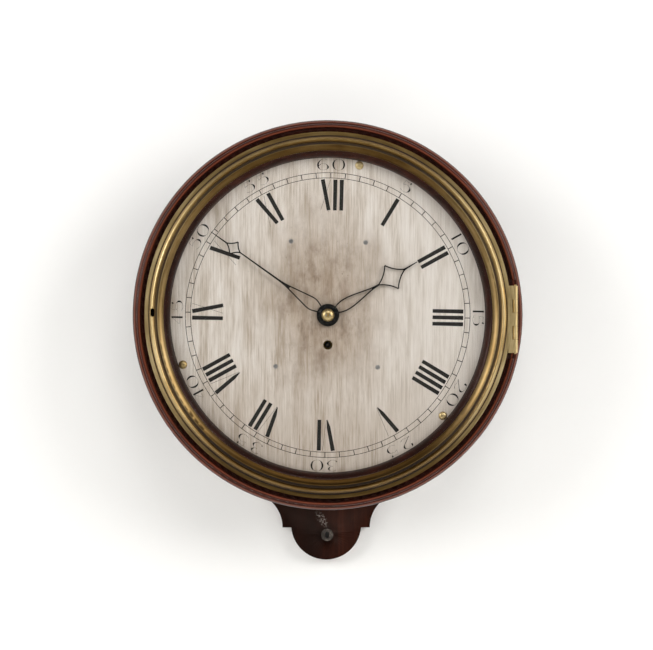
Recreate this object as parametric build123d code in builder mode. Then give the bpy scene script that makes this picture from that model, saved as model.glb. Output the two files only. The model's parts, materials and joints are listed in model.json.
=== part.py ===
from build123d import *
from math import asin, atan2, cos, degrees, hypot, pi, radians, sin, sqrt
import os

os.makedirs("parts", exist_ok=True)

# A wall dial clock with a fusee movement. Millimetres, +Z up.
# The wall is the plane y = 0 and the clock stands out from it towards -Y.
# Every "depth" below is a distance from the wall, and the origin is where
# the axis of the hands meets the wall.

# Fits
running_fit = 0.05
loose_fit = 0.3
screw_fit = 0.05

# Box and back board
box_half_width = 73.0
box_wall = 9.0
box_top_height = 149.0
box_bottom_height = -172.0
board_thickness = 12.0
box_depth = 80.0
box_front = board_thickness + box_depth
box_inner_half_width = box_half_width - box_wall

# Top tongue and foot of the back board
tongue_radius = 24.0
tongue_centre_height = box_top_height + 3.0
shoulder_radius = 35.4
shoulder_height = -214.2
foot_neck_half_width = 44.0
foot_radius = 35.3
foot_centre_height = -211.4

# Holes that hang the clock
hanging_hole_radius = 5.0
hanging_hole_height = 161.0
hanging_plate_width = 33.0
hanging_plate_height = 18.0
hanging_plate_thickness = 2.0
hanging_screw_spacing_x = 28.0
hanging_screw_spacing_z = 12.0
foot_slot_height = -221.9
foot_slot_across = 1.0
foot_slot_length = 7.2
foot_slot_width = 3.6
foot_plate_radius = 6.2
foot_plate_thickness = 1.2

# Turned surround
surround_radius = 190.9
surround_back_radius = 184.0
opening_half_width = 61.0
opening_half_height = 86.0
opening_corner = 8.0
surround_front = box_front + 24.0
ledge_depth = box_front + 12.0
outer_swell_depth = box_front + 13.0
outer_swell_front = box_front + 21.0
outer_swell_inner_radius = 187.6
bead_radius = 2.2
bead_centre_radius = 184.6
bead_centre_depth = box_front + 22.6
quirk_depth = box_front + 21.5
quirk_inner_radius = 179.3
lip_radius = 160.4
lip_bevel_depth = box_front + 19.5

# Dial plate
dial_radius = 154.1
dial_thickness = 1.6
dial_fit = 0.4
dial_front = ledge_depth + dial_thickness
recess_radius = dial_radius + dial_fit
centre_hole_radius = 5.2
winding_hole_radius = 4.55
dial_screw_circle = 149.8
dial_screw_angles = (11.9, 131.2, 251.1)
dial_screw_slots = (35.0, 100.0, 5.0)
dial_screw_head_radius = 4.2
dial_screw_head_height = 1.5
dial_screw_shank_radius = 1.6
dial_screw_length = 10.0
screw_slot_width = 0.8
screw_slot_depth = 0.7

# Feet that join the dial to the movement
dial_feet_places = ((-36.0, 72.3), (37.0, 71.1), (-51.1, -50.2), (48.8, -51.1))
dial_foot_radius = 3.5
dial_foot_rivet_radius = 2.3
dial_foot_tail_radius = 1.25

# Bezel and glass
bezel_seat = surround_front
bezel_radius = 178.8
flange_height = 4.0
flange_inner_radius = 175.4
groove_radius = 173.6
groove_height = 5.0
bezel_bead_radius = 171.0
bezel_bead_height = 14.0
bead_foot_radius = 168.4
quirk_height = 10.6
bevel_top_radius = 165.8
bevel_top_height = 11.3
sight_radius = 160.2
sight_edge_height = 8.3
bezel_back_groove_inner = 166.0
bezel_back_groove_outer = 172.6
bezel_back_groove_height = 7.0
glass_radius = 163.2
glass_thickness = 2.0
glass_front = bezel_seat + 7.5
rebate_radius = glass_radius + loose_fit
retaining_ring_height = 2.6
keyhole_radius_from_centre = 170.7
keyhole_height = 8.2
keyhole_width = 3.8
keyhole_up = 2.5

# Bezel hinge
hinge_axis_x = 182.6
hinge_axis_depth = surround_front + 3.0
hinge_centre_height = -4.1
hinge_length = 65.6
knuckle_count = 5
knuckle_radius = 2.6
knuckle_gap = 0.3
hinge_pin_radius = 1.1
leaf_thickness = 1.4
leaf_inner_x = 175.6
case_leaf_outer_x = 184.4
case_leaf_inner_x = 180.2
case_leaf_web = 1.6
notch_end = 5.0
leaf_screw_radius = 0.9
leaf_screw_head_radius = 1.7

# Bezel lock
lock_width = 22.0
lock_reach = 13.0
lock_depth = 8.0
lock_outer_x = 177.6
lock_wall = 1.2
bolt_width = 6.0
bolt_thickness = 2.6
bolt_length = 9.0
bolt_throw = 3.5
bolt_back = surround_front - 6.8
pocket_fit = 0.6

# Doors
door_back = 24.0
door_front = 78.0
door_far_clearance = 1.4
side_door_half_height = 60.0
bottom_door_half_width = 38.0
door_knuckle_radius = 1.5
door_knuckle_stand_off = 1.9
door_hinge_pin_radius = 0.7
door_leaf_thickness = 1.0
door_leaf_reach = 9.0
door_hinge_length = 20.0
side_hinge_spacing = 76.0
bottom_hinge_spacing = 46.0
button_length = 16.0
button_width = 6.0
button_thickness = 3.0
button_pivot_depth = 83.0
button_stand_off = 0.2
button_screw_radius = 1.4
button_screw_head_radius = 2.6
button_screw_head_height = 1.2
button_screw_grip = 7.0

# Wooden ears and pegs that join the surround to the box
ear_thickness = 10.0
ear_height = 30.0
ear_depth = 20.0
ear_centre_height = 110.0
peg_radius = 3.5
peg_head_radius = 5.0
peg_head_length = 3.5
peg_depth = box_front - ear_depth / 2

# Movement plates
plate_half_width = 58.0
plate_half_height = 80.0
plate_corner = 6.0
plate_thickness = 3.0
pillar_length = 43.0
front_plate_gap = 15.0
front_plate_front = ledge_depth - front_plate_gap
front_plate_back = front_plate_front - plate_thickness
back_plate_front = front_plate_back - pillar_length
back_plate_back = back_plate_front - plate_thickness
pillar_x = 52.0
pillar_z = 74.0
pillar_waist_radius = 2.9
pillar_knop_radius = 4.6
pillar_shoulder_radius = 5.2
pillar_shoulder = 3.0
pillar_tail_radius = 2.0
pillar_tail_length = 4.4
pin_radius = 0.6
pin_length = 9.0
plate_screw_radius = 1.0
plate_screw_head_radius = 2.0
plate_screw_head_height = 1.0

# Teeth: how far they stand out and in, in modules, and their widths as
# shares of the pitch
wheel_tooth = (1.0, 1.2, 0.14, 0.54)
leaf_tooth = (0.6, 1.2, 0.18, 0.30)

# Train
great_teeth = 96
centre_pinion_leaves = 8
centre_teeth = 84
third_pinion_leaves = 7
third_teeth = 80
escape_pinion_leaves = 7
escape_teeth = 30
winding_drop = 29.2
centre_module = 0.55
third_module = 0.5
third_lean = 10.0
escape_tip_radius = 15.0
escape_root_radius = 12.2
pallet_rise = 21.3
great_module = 2 * winding_drop / (great_teeth + centre_pinion_leaves)
centre_distance = centre_module * (centre_teeth + third_pinion_leaves) / 2
third_distance = third_module * (third_teeth + escape_pinion_leaves) / 2
fusee_x = 0.0
fusee_z = -winding_drop
third_x = third_lean
third_z = sqrt(centre_distance ** 2 - third_lean ** 2)
escape_z = third_z + sqrt(third_distance ** 2 - third_lean ** 2)
pallet_z = escape_z + pallet_rise
wheel_thickness = 1.8
great_wheel_thickness = 2.6
great_wheel_depth = back_plate_front + 3.0
third_wheel_depth = back_plate_front + 19.0
escape_wheel_depth = back_plate_front + 7.0
centre_wheel_depth = front_plate_back - 3.4
pivot_radius = 0.6
arbor_radius = 1.5
shoulder_gap = 0.3

# Fusee and barrel
fusee_arbor_radius = 3.0
fusee_rear_pivot_radius = 2.0
winding_square = 4.2
winding_square_depth = ledge_depth - 0.6
fusee_start = great_wheel_depth + great_wheel_thickness + 1.0
fusee_large_radius = 18.5
fusee_small_radius = 9.0
groove_pitch = 2.4
groove_count = 11
groove_sink = 1.3
gut_radius = 0.6
wound_grooves = 8
barrel_radius = 20.5
barrel_wall = 1.5
barrel_start = great_wheel_depth + great_wheel_thickness + 1.9
barrel_length = 29.0
barrel_distance = 41.5
barrel_bearing = 215.0
barrel_cap_thickness = 1.5
barrel_cap_overhang = 0.4
barrel_arbor_radius = 3.0
barrel_hub_radius = 6.0
spring_thickness = 0.5
spring_turns = 7
spring_margin = 1.5
barrel_x = fusee_x + barrel_distance * cos(radians(barrel_bearing))
barrel_z = fusee_z + barrel_distance * sin(radians(barrel_bearing))
ratchet_teeth = 16
ratchet_radius = 8.0
ratchet_root_radius = 6.6
ratchet_thickness = 2.0
click_pivot_radius = 1.4
click_bearing = 20.0
click_reach = 14.0
click_width = 3.2

# Stop arm of the fusee
stop_pivot_x = 34.0
stop_height = fusee_z - 13.0
stop_length = 30.0
stop_width = 4.0
stop_thickness = 1.2
stop_pivot_radius = 0.8
stop_depth = front_plate_back - 2.2

# Motion work
cannon_teeth = 24
minute_teeth = 48
minute_leaves = 10
hour_teeth = 60
cannon_module = 0.6
motion_distance = cannon_module * (cannon_teeth + minute_teeth) / 2
hour_module = 2 * motion_distance / (hour_teeth + minute_leaves)
cannon_depth = front_plate_front + 2.0
cannon_pipe_radius = 2.2
bridge_depth = front_plate_front + 5.5
bridge_thickness = 1.5
bridge_half_length = 21.0
bridge_foot = 6.5
bridge_width = 7.0
bridge_pipe_radius = 3.3
hour_wheel_depth = front_plate_front + 9.0
hour_pipe_radius = 4.4
minute_stud_radius = 1.2
minute_hub_radius = 3.2

# Hands
hour_hand_bearing = 59.2
minute_hand_bearing = 305.45
hand_thickness = 0.9
boss_thickness = 1.8
hour_hand_depth = dial_front + 2.4
minute_hand_depth = dial_front + 5.4
hour_boss_radius = 11.0
minute_boss_radius = 9.4
hand_line = 1.2
hour_hand_length = 101.6
minute_hand_length = 140.3
hour_star_start = 57.4
hour_star_middle = 72.6
hour_star_end = 88.0
hour_star_half_width = 13.2
minute_star_start = 105.3
minute_star_middle = 112.8
minute_star_end = 121.6
minute_star_half_width = 7.3
star_hollow = 0.16
hour_loop = ((10.6, 3.2), (17.0, 5.1), (24.0, 5.3), (32.0, 4.3), (41.0, 2.5), (50.0, 0.9), (57.4, 0.4))
minute_loop = ((8.6, 2.6), (12.4, 4.0), (18.0, 5.8), (26.0, 5.1), (35.0, 3.5), (46.0, 1.5), (58.0, 0.4))
collet_radius = 6.4
collet_height = 3.4
centre_end_radius = 1.2
centre_end_depth = minute_hand_depth + 7.3
hand_pin_length = 5.6

# Back cock, crutch and pendulum
cock_depth = 28.5
cock_thickness = 3.0
cock_half_width = 17.0
cock_height = 14.0
cock_foot = 5.0
cock_nose_half_width = 5.0
cock_nose_back = 19.0
cock_nose_top = 7.5
cock_slot_half_width = 0.65
crutch_depth = 33.0
crutch_thickness = 2.4
crutch_length = 53.0
crutch_rod_radius = 1.1
fork_height = 4.0
fork_wall = 1.8
pendulum_depth = 24.0
rod_radius = 1.5
rod_clearance = 0.4
suspension_thickness = 0.25
suspension_width = 5.0
suspension_top = 7.0
suspension_length = 21.0
spring_pin_height = 4.5
spring_pin_radius = 0.5
top_block_half = 2.5
top_block_height = 7.0
bob_drop = 190.2
bob_radius = 23.0
bob_half_thickness = 6.0
bob_edge = 1.0
rod_end_margin = 8.0
nut_radius = 4.0
nut_thickness = 4.0
nut_gap = 0.3


def front_plane(depth, x=0.0, z=0.0):
    """A plane parallel to the wall whose own x is +X and whose own y is +Z."""
    return Plane(origin=(x, -depth, z), x_dir=(1, 0, 0), z_dir=(0, -1, 0))


def turning_plane(x=0.0, z=0.0):
    """A plane for turned profiles: own x is the radius and own y the depth."""
    return Plane(origin=(x, 0, z), x_dir=(1, 0, 0), z_dir=(0, 0, -1))


def turning_axis(x=0.0, z=0.0):
    """The line through x, z that stands square to the wall."""
    return Axis((x, 0, z), (0, 1, 0))


def side_plane(x):
    """A plane facing -X whose own x is the depth and whose own y is +Z."""
    return Plane(origin=(x, 0, 0), x_dir=(0, -1, 0), z_dir=(-1, 0, 0))


def level_plane(z):
    """A level plane whose own x is +X and whose own y is the depth, facing down."""
    return Plane(origin=(0, 0, z), x_dir=(1, 0, 0), z_dir=(0, 0, -1))


def on_clock(radius, bearing):
    """The x, z of a point at a bearing in degrees clockwise from twelve."""
    return (radius * sin(radians(bearing)), radius * cos(radians(bearing)))


def tooth_outline(teeth, module, shape, tooth_angle):
    """Corners of a toothed edge with one tooth at tooth_angle, in degrees."""
    tip_out, root_in, tip_share, root_share = shape
    tip = (teeth / 2 + tip_out) * module
    root = (teeth / 2 - root_in) * module
    tip_half = degrees(tip_share * pi * module / tip / 2)
    root_half = degrees(root_share * pi * module / root / 2)
    corners = []
    for index in range(teeth):
        middle = tooth_angle + 360 * index / teeth
        for radius, turn in ((root, -root_half), (tip, -tip_half), (tip, tip_half), (root, root_half)):
            angle = radians(middle + turn)
            corners.append((radius * cos(angle), radius * sin(angle)))
    return corners


def slanted_outline(teeth, tip, root, lean, start_angle):
    """Corners of a saw-toothed edge whose teeth all lean one way."""
    corners = []
    for index in range(teeth):
        angle = radians(start_angle + 360 * index / teeth)
        step = 2 * pi / teeth
        corners.append((root * cos(angle), root * sin(angle)))
        corners.append((tip * cos(angle + lean * step), tip * sin(angle + lean * step)))
        corners.append((tip * cos(angle + (lean + 0.1) * step), tip * sin(angle + (lean + 0.1) * step)))
        corners.append((root * cos(angle + 0.62 * step), root * sin(angle + 0.62 * step)))
    return corners


def mesh_angle(x, z):
    """Direction in degrees from the hand axis to a place x, z."""
    return degrees(atan2(z, x))


def cross_out(rim_radius, hub_radius, arms, arm_width):
    """Opens the current sketch between hub and rim, and leaves the arms."""
    Circle(rim_radius, mode=Mode.SUBTRACT)
    Circle(hub_radius)
    for index in range(arms):
        Rectangle(2 * rim_radius + 0.4, arm_width, rotation=180 * index / arms)


# Back board, with its tongue at the top and its rounded foot

shoulder_centre_x = foot_neck_half_width + shoulder_radius
shoulder_start = shoulder_height + sqrt(shoulder_radius ** 2 - (shoulder_centre_x - box_half_width) ** 2)
shoulder_middle_angle = (pi + atan2(shoulder_start - shoulder_height, box_half_width - shoulder_centre_x)) / 2
shoulder_middle = (
    shoulder_centre_x + shoulder_radius * cos(shoulder_middle_angle),
    shoulder_height + shoulder_radius * sin(shoulder_middle_angle),
)
foot_step_x = sqrt(foot_radius ** 2 - (foot_centre_height - shoulder_height) ** 2)
foot_bottom = foot_centre_height - foot_radius
tongue_top = tongue_centre_height + tongue_radius
slant = radians(45)

with BuildPart() as back_board:
    with BuildSketch(front_plane(0)):
        with BuildLine():
            ThreePointArc(
                (0, tongue_top),
                (tongue_radius * cos(slant), tongue_centre_height + tongue_radius * sin(slant)),
                (tongue_radius, tongue_centre_height),
            )
            Polyline(
                (tongue_radius, tongue_centre_height),
                (tongue_radius, box_top_height),
                (box_half_width, box_top_height),
                (box_half_width, shoulder_start),
            )
            ThreePointArc(
                (box_half_width, shoulder_start),
                shoulder_middle,
                (foot_neck_half_width, shoulder_height),
            )
            Line((foot_neck_half_width, shoulder_height), (foot_step_x, shoulder_height))
            ThreePointArc(
                (foot_step_x, shoulder_height),
                (foot_radius * cos(slant), foot_centre_height - foot_radius * sin(slant)),
                (0, foot_bottom),
            )
            mirror(about=Plane.YZ)
        make_face()
        with Locations((0, hanging_hole_height)):
            Circle(hanging_hole_radius, mode=Mode.SUBTRACT)
        with Locations((foot_slot_across, foot_slot_height)):
            SlotOverall(foot_slot_length, foot_slot_width, rotation=90, mode=Mode.SUBTRACT)
    extrude(amount=board_thickness)
    with BuildSketch(front_plane(board_thickness)):
        with Locations((foot_slot_across, foot_slot_height)):
            Circle(foot_plate_radius + screw_fit)
    extrude(amount=-foot_plate_thickness, mode=Mode.SUBTRACT)
    with BuildSketch(front_plane(board_thickness, 0, hanging_hole_height)):
        with GridLocations(hanging_screw_spacing_x, hanging_screw_spacing_z, 2, 2):
            Circle(leaf_screw_radius + screw_fit)
    extrude(amount=-button_screw_grip, mode=Mode.SUBTRACT)
back_board.part.label = "back_board"
export_step(back_board.part, "parts/back_board.step")

with BuildPart() as iron_fixing_plates:
    with BuildSketch(front_plane(board_thickness, 0, hanging_hole_height)):
        RectangleRounded(hanging_plate_width, hanging_plate_height, leaf_screw_head_radius)
        Circle(hanging_hole_radius, mode=Mode.SUBTRACT)
        with GridLocations(hanging_screw_spacing_x, hanging_screw_spacing_z, 2, 2):
            Circle(leaf_screw_radius + screw_fit, mode=Mode.SUBTRACT)
    extrude(amount=hanging_plate_thickness)
    with BuildSketch(front_plane(board_thickness - foot_plate_thickness, foot_slot_across, foot_slot_height)):
        Circle(foot_plate_radius)
        SlotOverall(foot_slot_length, foot_slot_width, rotation=90, mode=Mode.SUBTRACT)
    extrude(amount=foot_plate_thickness)
iron_fixing_plates.part.label = "iron_fixing_plates"
export_step(iron_fixing_plates.part, "parts/iron_fixing_plates.step")


# Box sides, top and bottom

box_height = box_top_height - box_bottom_height
box_middle_height = (box_top_height + box_bottom_height) / 2
box_middle_depth = board_thickness + box_depth / 2
door_middle_depth = (door_back + door_front) / 2
door_way = door_front - door_back
side_hinge_heights = (-side_hinge_spacing / 2, side_hinge_spacing / 2)
bottom_hinge_places = (-bottom_hinge_spacing / 2, bottom_hinge_spacing / 2)

with BuildPart() as box_left_side:
    with BuildSketch(side_plane(-box_inner_half_width)):
        with Locations((box_middle_depth, box_middle_height)):
            Rectangle(box_depth, box_height)
        with Locations((peg_depth, ear_centre_height), (peg_depth, -ear_centre_height)):
            Circle(peg_radius + screw_fit, mode=Mode.SUBTRACT)
    extrude(amount=box_wall)
box_left_side.part.label = "box_left_side"
export_step(box_left_side.part, "parts/box_left_side.step")

with BuildPart() as box_right_side:
    with BuildSketch(side_plane(box_half_width)):
        with Locations((box_middle_depth, box_middle_height)):
            Rectangle(box_depth, box_height)
        with Locations((peg_depth, ear_centre_height), (peg_depth, -ear_centre_height)):
            Circle(peg_radius + screw_fit, mode=Mode.SUBTRACT)
        with Locations((door_middle_depth, 0)):
            Rectangle(door_way, 2 * side_door_half_height, mode=Mode.SUBTRACT)
    extrude(amount=box_wall)
    with BuildSketch(side_plane(box_half_width)):
        with Locations((button_pivot_depth, 0)):
            Circle(button_screw_radius + screw_fit)
    extrude(amount=button_screw_grip, mode=Mode.SUBTRACT)
box_right_side.part.label = "box_right_side"
export_step(box_right_side.part, "parts/box_right_side.step")

with BuildPart() as box_top:
    with BuildSketch(level_plane(box_top_height)):
        with Locations((0, box_middle_depth)):
            Rectangle(2 * box_inner_half_width, box_depth)
    extrude(amount=box_wall)
box_top.part.label = "box_top"
export_step(box_top.part, "parts/box_top.step")

with BuildPart() as box_bottom:
    with BuildSketch(level_plane(box_bottom_height + box_wall)):
        with Locations((0, box_middle_depth)):
            Rectangle(2 * box_inner_half_width, box_depth)
        with Locations((0, door_middle_depth)):
            Rectangle(2 * bottom_door_half_width, door_way, mode=Mode.SUBTRACT)
    extrude(amount=box_wall)
    with BuildSketch(level_plane(box_bottom_height)):
        with Locations((0, button_pivot_depth)):
            Circle(button_screw_radius + screw_fit)
    extrude(amount=-button_screw_grip, mode=Mode.SUBTRACT)
box_bottom.part.label = "box_bottom"
export_step(box_bottom.part, "parts/box_bottom.step")


# Doors: each hangs on its back edge and stops short of its front edge

door_depth_size = door_way - loose_fit - door_far_clearance
door_middle = door_back + loose_fit + door_depth_size / 2

with BuildPart() as side_door:
    with BuildSketch(side_plane(box_half_width)):
        with Locations((door_middle, 0)):
            Rectangle(door_depth_size, 2 * (side_door_half_height - loose_fit))
    extrude(amount=box_wall)
side_door.part.label = "side_door"
export_step(side_door.part, "parts/side_door.step")

with BuildPart() as bottom_door:
    with BuildSketch(level_plane(box_bottom_height + box_wall)):
        with Locations((0, door_middle)):
            Rectangle(2 * (bottom_door_half_width - loose_fit), door_depth_size)
    extrude(amount=box_wall)
bottom_door.part.label = "bottom_door"
export_step(bottom_door.part, "parts/bottom_door.step")

side_axis_x = box_half_width + door_knuckle_stand_off
bottom_axis_z = box_bottom_height - door_knuckle_stand_off
door_knuckle = door_hinge_length / 3
knuckle_middle = door_knuckle - 2 * knuckle_gap
leaf_edge = door_knuckle_radius + loose_fit
leaf_middle = (leaf_edge + door_leaf_reach) / 2
leaf_size = door_leaf_reach - leaf_edge
outer_knuckle_offset = door_knuckle
outer_knuckle = door_knuckle - knuckle_gap

with BuildPart() as side_door_hinges:
    for height in side_hinge_heights:
        with BuildSketch(side_plane(box_half_width)):
            with Locations((door_back + leaf_middle, height)):
                Rectangle(leaf_size, door_hinge_length)
            with Locations((door_back + leaf_edge / 2, height)):
                Rectangle(leaf_edge, knuckle_middle)
        extrude(amount=-door_leaf_thickness)
        with BuildSketch(Plane.XY.offset(height - knuckle_middle / 2)):
            with Locations((side_axis_x, -door_back)):
                Circle(door_knuckle_radius)
        extrude(amount=knuckle_middle)
    with BuildSketch(Plane.XY.offset(-side_hinge_spacing)):
        with Locations((side_axis_x, -door_back)):
            Circle(door_hinge_pin_radius + running_fit)
    extrude(amount=2 * side_hinge_spacing, mode=Mode.SUBTRACT)
side_door_hinges.part.label = "side_door_hinges"
export_step(side_door_hinges.part, "parts/side_door_hinges.step")

with BuildPart() as bottom_door_hinges:
    for place in bottom_hinge_places:
        with BuildSketch(level_plane(box_bottom_height)):
            with Locations((place, door_back + leaf_middle)):
                Rectangle(door_hinge_length, leaf_size)
            with Locations((place, door_back + leaf_edge / 2)):
                Rectangle(knuckle_middle, leaf_edge)
        extrude(amount=door_leaf_thickness)
        with BuildSketch(Plane.YZ.offset(place - knuckle_middle / 2)):
            with Locations((-door_back, bottom_axis_z)):
                Circle(door_knuckle_radius)
        extrude(amount=knuckle_middle)
    with BuildSketch(Plane.YZ.offset(-bottom_hinge_spacing)):
        with Locations((-door_back, bottom_axis_z)):
            Circle(door_hinge_pin_radius + running_fit)
    extrude(amount=2 * bottom_hinge_spacing, mode=Mode.SUBTRACT)
bottom_door_hinges.part.label = "bottom_door_hinges"
export_step(bottom_door_hinges.part, "parts/bottom_door_hinges.step")

# The fixed plates of all four door hinges, each with its pin

with BuildPart() as door_hinge_plates:
    for height in side_hinge_heights:
        with BuildSketch(side_plane(box_half_width)):
            with Locations((door_back - leaf_middle, height)):
                Rectangle(leaf_size, door_hinge_length)
            with Locations(
                (door_back - leaf_edge / 2, height - outer_knuckle_offset),
                (door_back - leaf_edge / 2, height + outer_knuckle_offset),
            ):
                Rectangle(leaf_edge, outer_knuckle)
        extrude(amount=-door_leaf_thickness)
        for side in (-1, 1):
            with BuildSketch(Plane.XY.offset(height + side * outer_knuckle_offset - outer_knuckle / 2)):
                with Locations((side_axis_x, -door_back)):
                    Circle(door_knuckle_radius)
            extrude(amount=outer_knuckle)
        with BuildSketch(Plane.XY.offset(height - door_hinge_length / 2)):
            with Locations((side_axis_x, -door_back)):
                Circle(door_hinge_pin_radius)
        extrude(amount=door_hinge_length)
    for place in bottom_hinge_places:
        with BuildSketch(level_plane(box_bottom_height)):
            with Locations((place, door_back - leaf_middle)):
                Rectangle(door_hinge_length, leaf_size)
            with Locations(
                (place - outer_knuckle_offset, door_back - leaf_edge / 2),
                (place + outer_knuckle_offset, door_back - leaf_edge / 2),
            ):
                Rectangle(outer_knuckle, leaf_edge)
        extrude(amount=door_leaf_thickness)
        for side in (-1, 1):
            with BuildSketch(Plane.YZ.offset(place + side * outer_knuckle_offset - outer_knuckle / 2)):
                with Locations((-door_back, bottom_axis_z)):
                    Circle(door_knuckle_radius)
            extrude(amount=outer_knuckle)
        with BuildSketch(Plane.YZ.offset(place - door_hinge_length / 2)):
            with Locations((-door_back, bottom_axis_z)):
                Circle(door_hinge_pin_radius)
        extrude(amount=door_hinge_length)
door_hinge_plates.part.label = "door_hinge_plates"
export_step(door_hinge_plates.part, "parts/door_hinge_plates.step")

# Turn buttons, at rest lying clear of their doors
with BuildPart() as side_door_button:
    with BuildSketch(side_plane(box_half_width + button_stand_off)):
        with Locations((button_pivot_depth, 0)):
            SlotOverall(button_length, button_width, rotation=90)
            Circle(button_screw_radius + running_fit, mode=Mode.SUBTRACT)
    extrude(amount=-button_thickness)
side_door_button.part.label = "side_door_button"
export_step(side_door_button.part, "parts/side_door_button.step")

with BuildPart() as bottom_door_button:
    with BuildSketch(level_plane(box_bottom_height - button_stand_off)):
        with Locations((0, button_pivot_depth)):
            SlotOverall(button_length, button_width)
            Circle(button_screw_radius + running_fit, mode=Mode.SUBTRACT)
    extrude(amount=button_thickness)
bottom_door_button.part.label = "bottom_door_button"
export_step(bottom_door_button.part, "parts/bottom_door_button.step")


# Ears and pegs that join the surround to the box

with BuildPart() as surround_ears:
    for side in (-1, 1):
        for level in (-1, 1):
            with BuildSketch(side_plane(side * (box_inner_half_width - ear_thickness / 2))):
                with Locations((box_front - ear_depth / 2, level * ear_centre_height)):
                    Rectangle(ear_depth, ear_height)
                    Circle(peg_radius + screw_fit, mode=Mode.SUBTRACT)
            extrude(amount=ear_thickness / 2, both=True)
surround_ears.part.label = "surround_ears"
export_step(surround_ears.part, "parts/surround_ears.step")

peg_length = box_wall + ear_thickness + 1.0

with BuildPart() as fixing_pegs:
    for side in (-1, 1):
        for level in (-1, 1):
            with BuildSketch(side_plane(side * box_half_width)):
                with Locations((peg_depth, level * ear_centre_height)):
                    Circle(peg_radius)
            extrude(amount=side * peg_length)
            with BuildSketch(side_plane(side * box_half_width)):
                with Locations((peg_depth, level * ear_centre_height)):
                    Circle(peg_head_radius)
            extrude(amount=-side * peg_head_length)
fixing_pegs.part.label = "fixing_pegs"
export_step(fixing_pegs.part, "parts/fixing_pegs.step")


# Turned surround

hinge_low = hinge_centre_height - hinge_length / 2
notch_depth = quirk_depth - 0.3
notch_inner_radius = quirk_inner_radius + 0.7
notch_outer_x = surround_radius + 2.0
notch_half_length = hinge_length / 2 + notch_end + loose_fit
notch_rise = (notch_half_length + hinge_centre_height) / case_leaf_inner_x
notch_fall = (notch_half_length - hinge_centre_height) / case_leaf_inner_x
knuckle_pitch = hinge_length / knuckle_count
leaf_screw_reach = (hinge_length - knuckle_pitch) / 2
leaf_screw_places = (-leaf_screw_reach, leaf_screw_reach)
case_screw_x = (case_leaf_outer_x + case_leaf_inner_x) / 2
screw_sink = 8.0
bead_inner = bead_centre_radius - sqrt(bead_radius ** 2 - (bead_centre_depth - quirk_depth) ** 2)
bead_outer = bead_centre_radius + sqrt(bead_radius ** 2 - (bead_centre_depth - outer_swell_front) ** 2)

with BuildPart() as dial_surround:
    with BuildSketch(turning_plane()):
        with BuildLine():
            Polyline(
                (0, box_front),
                (surround_back_radius, box_front),
                (surround_back_radius, box_front + 3.0),
            )
            ThreePointArc(
                (surround_back_radius, box_front + 3.0),
                (surround_back_radius + 1.4, box_front + 6.0),
                (surround_radius - 1.0, box_front + 9.0),
            )
            ThreePointArc(
                (surround_radius - 1.0, box_front + 9.0),
                (surround_radius, outer_swell_depth),
                (outer_swell_inner_radius, outer_swell_front),
            )
            Line((outer_swell_inner_radius, outer_swell_front), (bead_outer, outer_swell_front))
            ThreePointArc(
                (bead_outer, outer_swell_front),
                (bead_centre_radius, bead_centre_depth + bead_radius),
                (bead_inner, quirk_depth),
            )
            Polyline(
                (bead_inner, quirk_depth),
                (quirk_inner_radius, quirk_depth),
                (quirk_inner_radius, surround_front),
                (lip_radius, surround_front),
            )
            ThreePointArc(
                (lip_radius, surround_front),
                (recess_radius + 1.2, lip_bevel_depth - 0.2),
                (recess_radius, lip_bevel_depth - 4.0),
            )
            Polyline(
                (recess_radius, lip_bevel_depth - 4.0),
                (recess_radius, ledge_depth),
                (0, ledge_depth),
                (0, box_front),
            )
        make_face()
    revolve(axis=Axis.Y)
    # the opening through which the movement passes
    with BuildSketch(front_plane(box_front)):
        RectangleRounded(2 * opening_half_width, 2 * opening_half_height, opening_corner)
    extrude(amount=ledge_depth - box_front, mode=Mode.SUBTRACT)
    # notch for the hinge in the rim
    with BuildSketch(front_plane(notch_depth)):
        with BuildLine():
            Polyline(
                (0, 0),
                (notch_outer_x, notch_outer_x * notch_rise),
                (notch_outer_x, -notch_outer_x * notch_fall),
                close=True,
            )
        make_face()
        Circle(notch_inner_radius, mode=Mode.SUBTRACT)
    extrude(amount=surround_front - notch_depth + bead_radius + 4.0, mode=Mode.SUBTRACT)
    with BuildSketch(front_plane(notch_depth, case_screw_x, hinge_centre_height)):
        for place in leaf_screw_places:
            with Locations((0, place)):
                Circle(leaf_screw_radius + screw_fit)
    extrude(amount=-screw_sink, mode=Mode.SUBTRACT)
    # pocket and mortise for the lock
    with BuildSketch(front_plane(surround_front, -lock_outer_x + lock_reach / 2, 0)):
        Rectangle(lock_reach + 2 * pocket_fit, lock_width + 2 * pocket_fit)
    extrude(amount=-(lock_depth + pocket_fit), mode=Mode.SUBTRACT)
    with BuildSketch(front_plane(bolt_back - loose_fit, -lock_outer_x - bolt_throw / 2, 0)):
        Rectangle(bolt_throw + 2 * pocket_fit + 1.0, bolt_width + 2 * loose_fit)
    extrude(amount=bolt_thickness + 2 * loose_fit, mode=Mode.SUBTRACT)
    # holes for the dial screws
    with BuildSketch(front_plane(ledge_depth)):
        for bearing in dial_screw_angles:
            with Locations(on_clock(dial_screw_circle, bearing)):
                Circle(dial_screw_shank_radius + screw_fit)
    extrude(amount=-(dial_screw_length - dial_thickness), mode=Mode.SUBTRACT)
dial_surround.part.label = "dial_surround"
export_step(dial_surround.part, "parts/dial_surround.step")


# Dial plate, its screws and its feet

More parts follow.
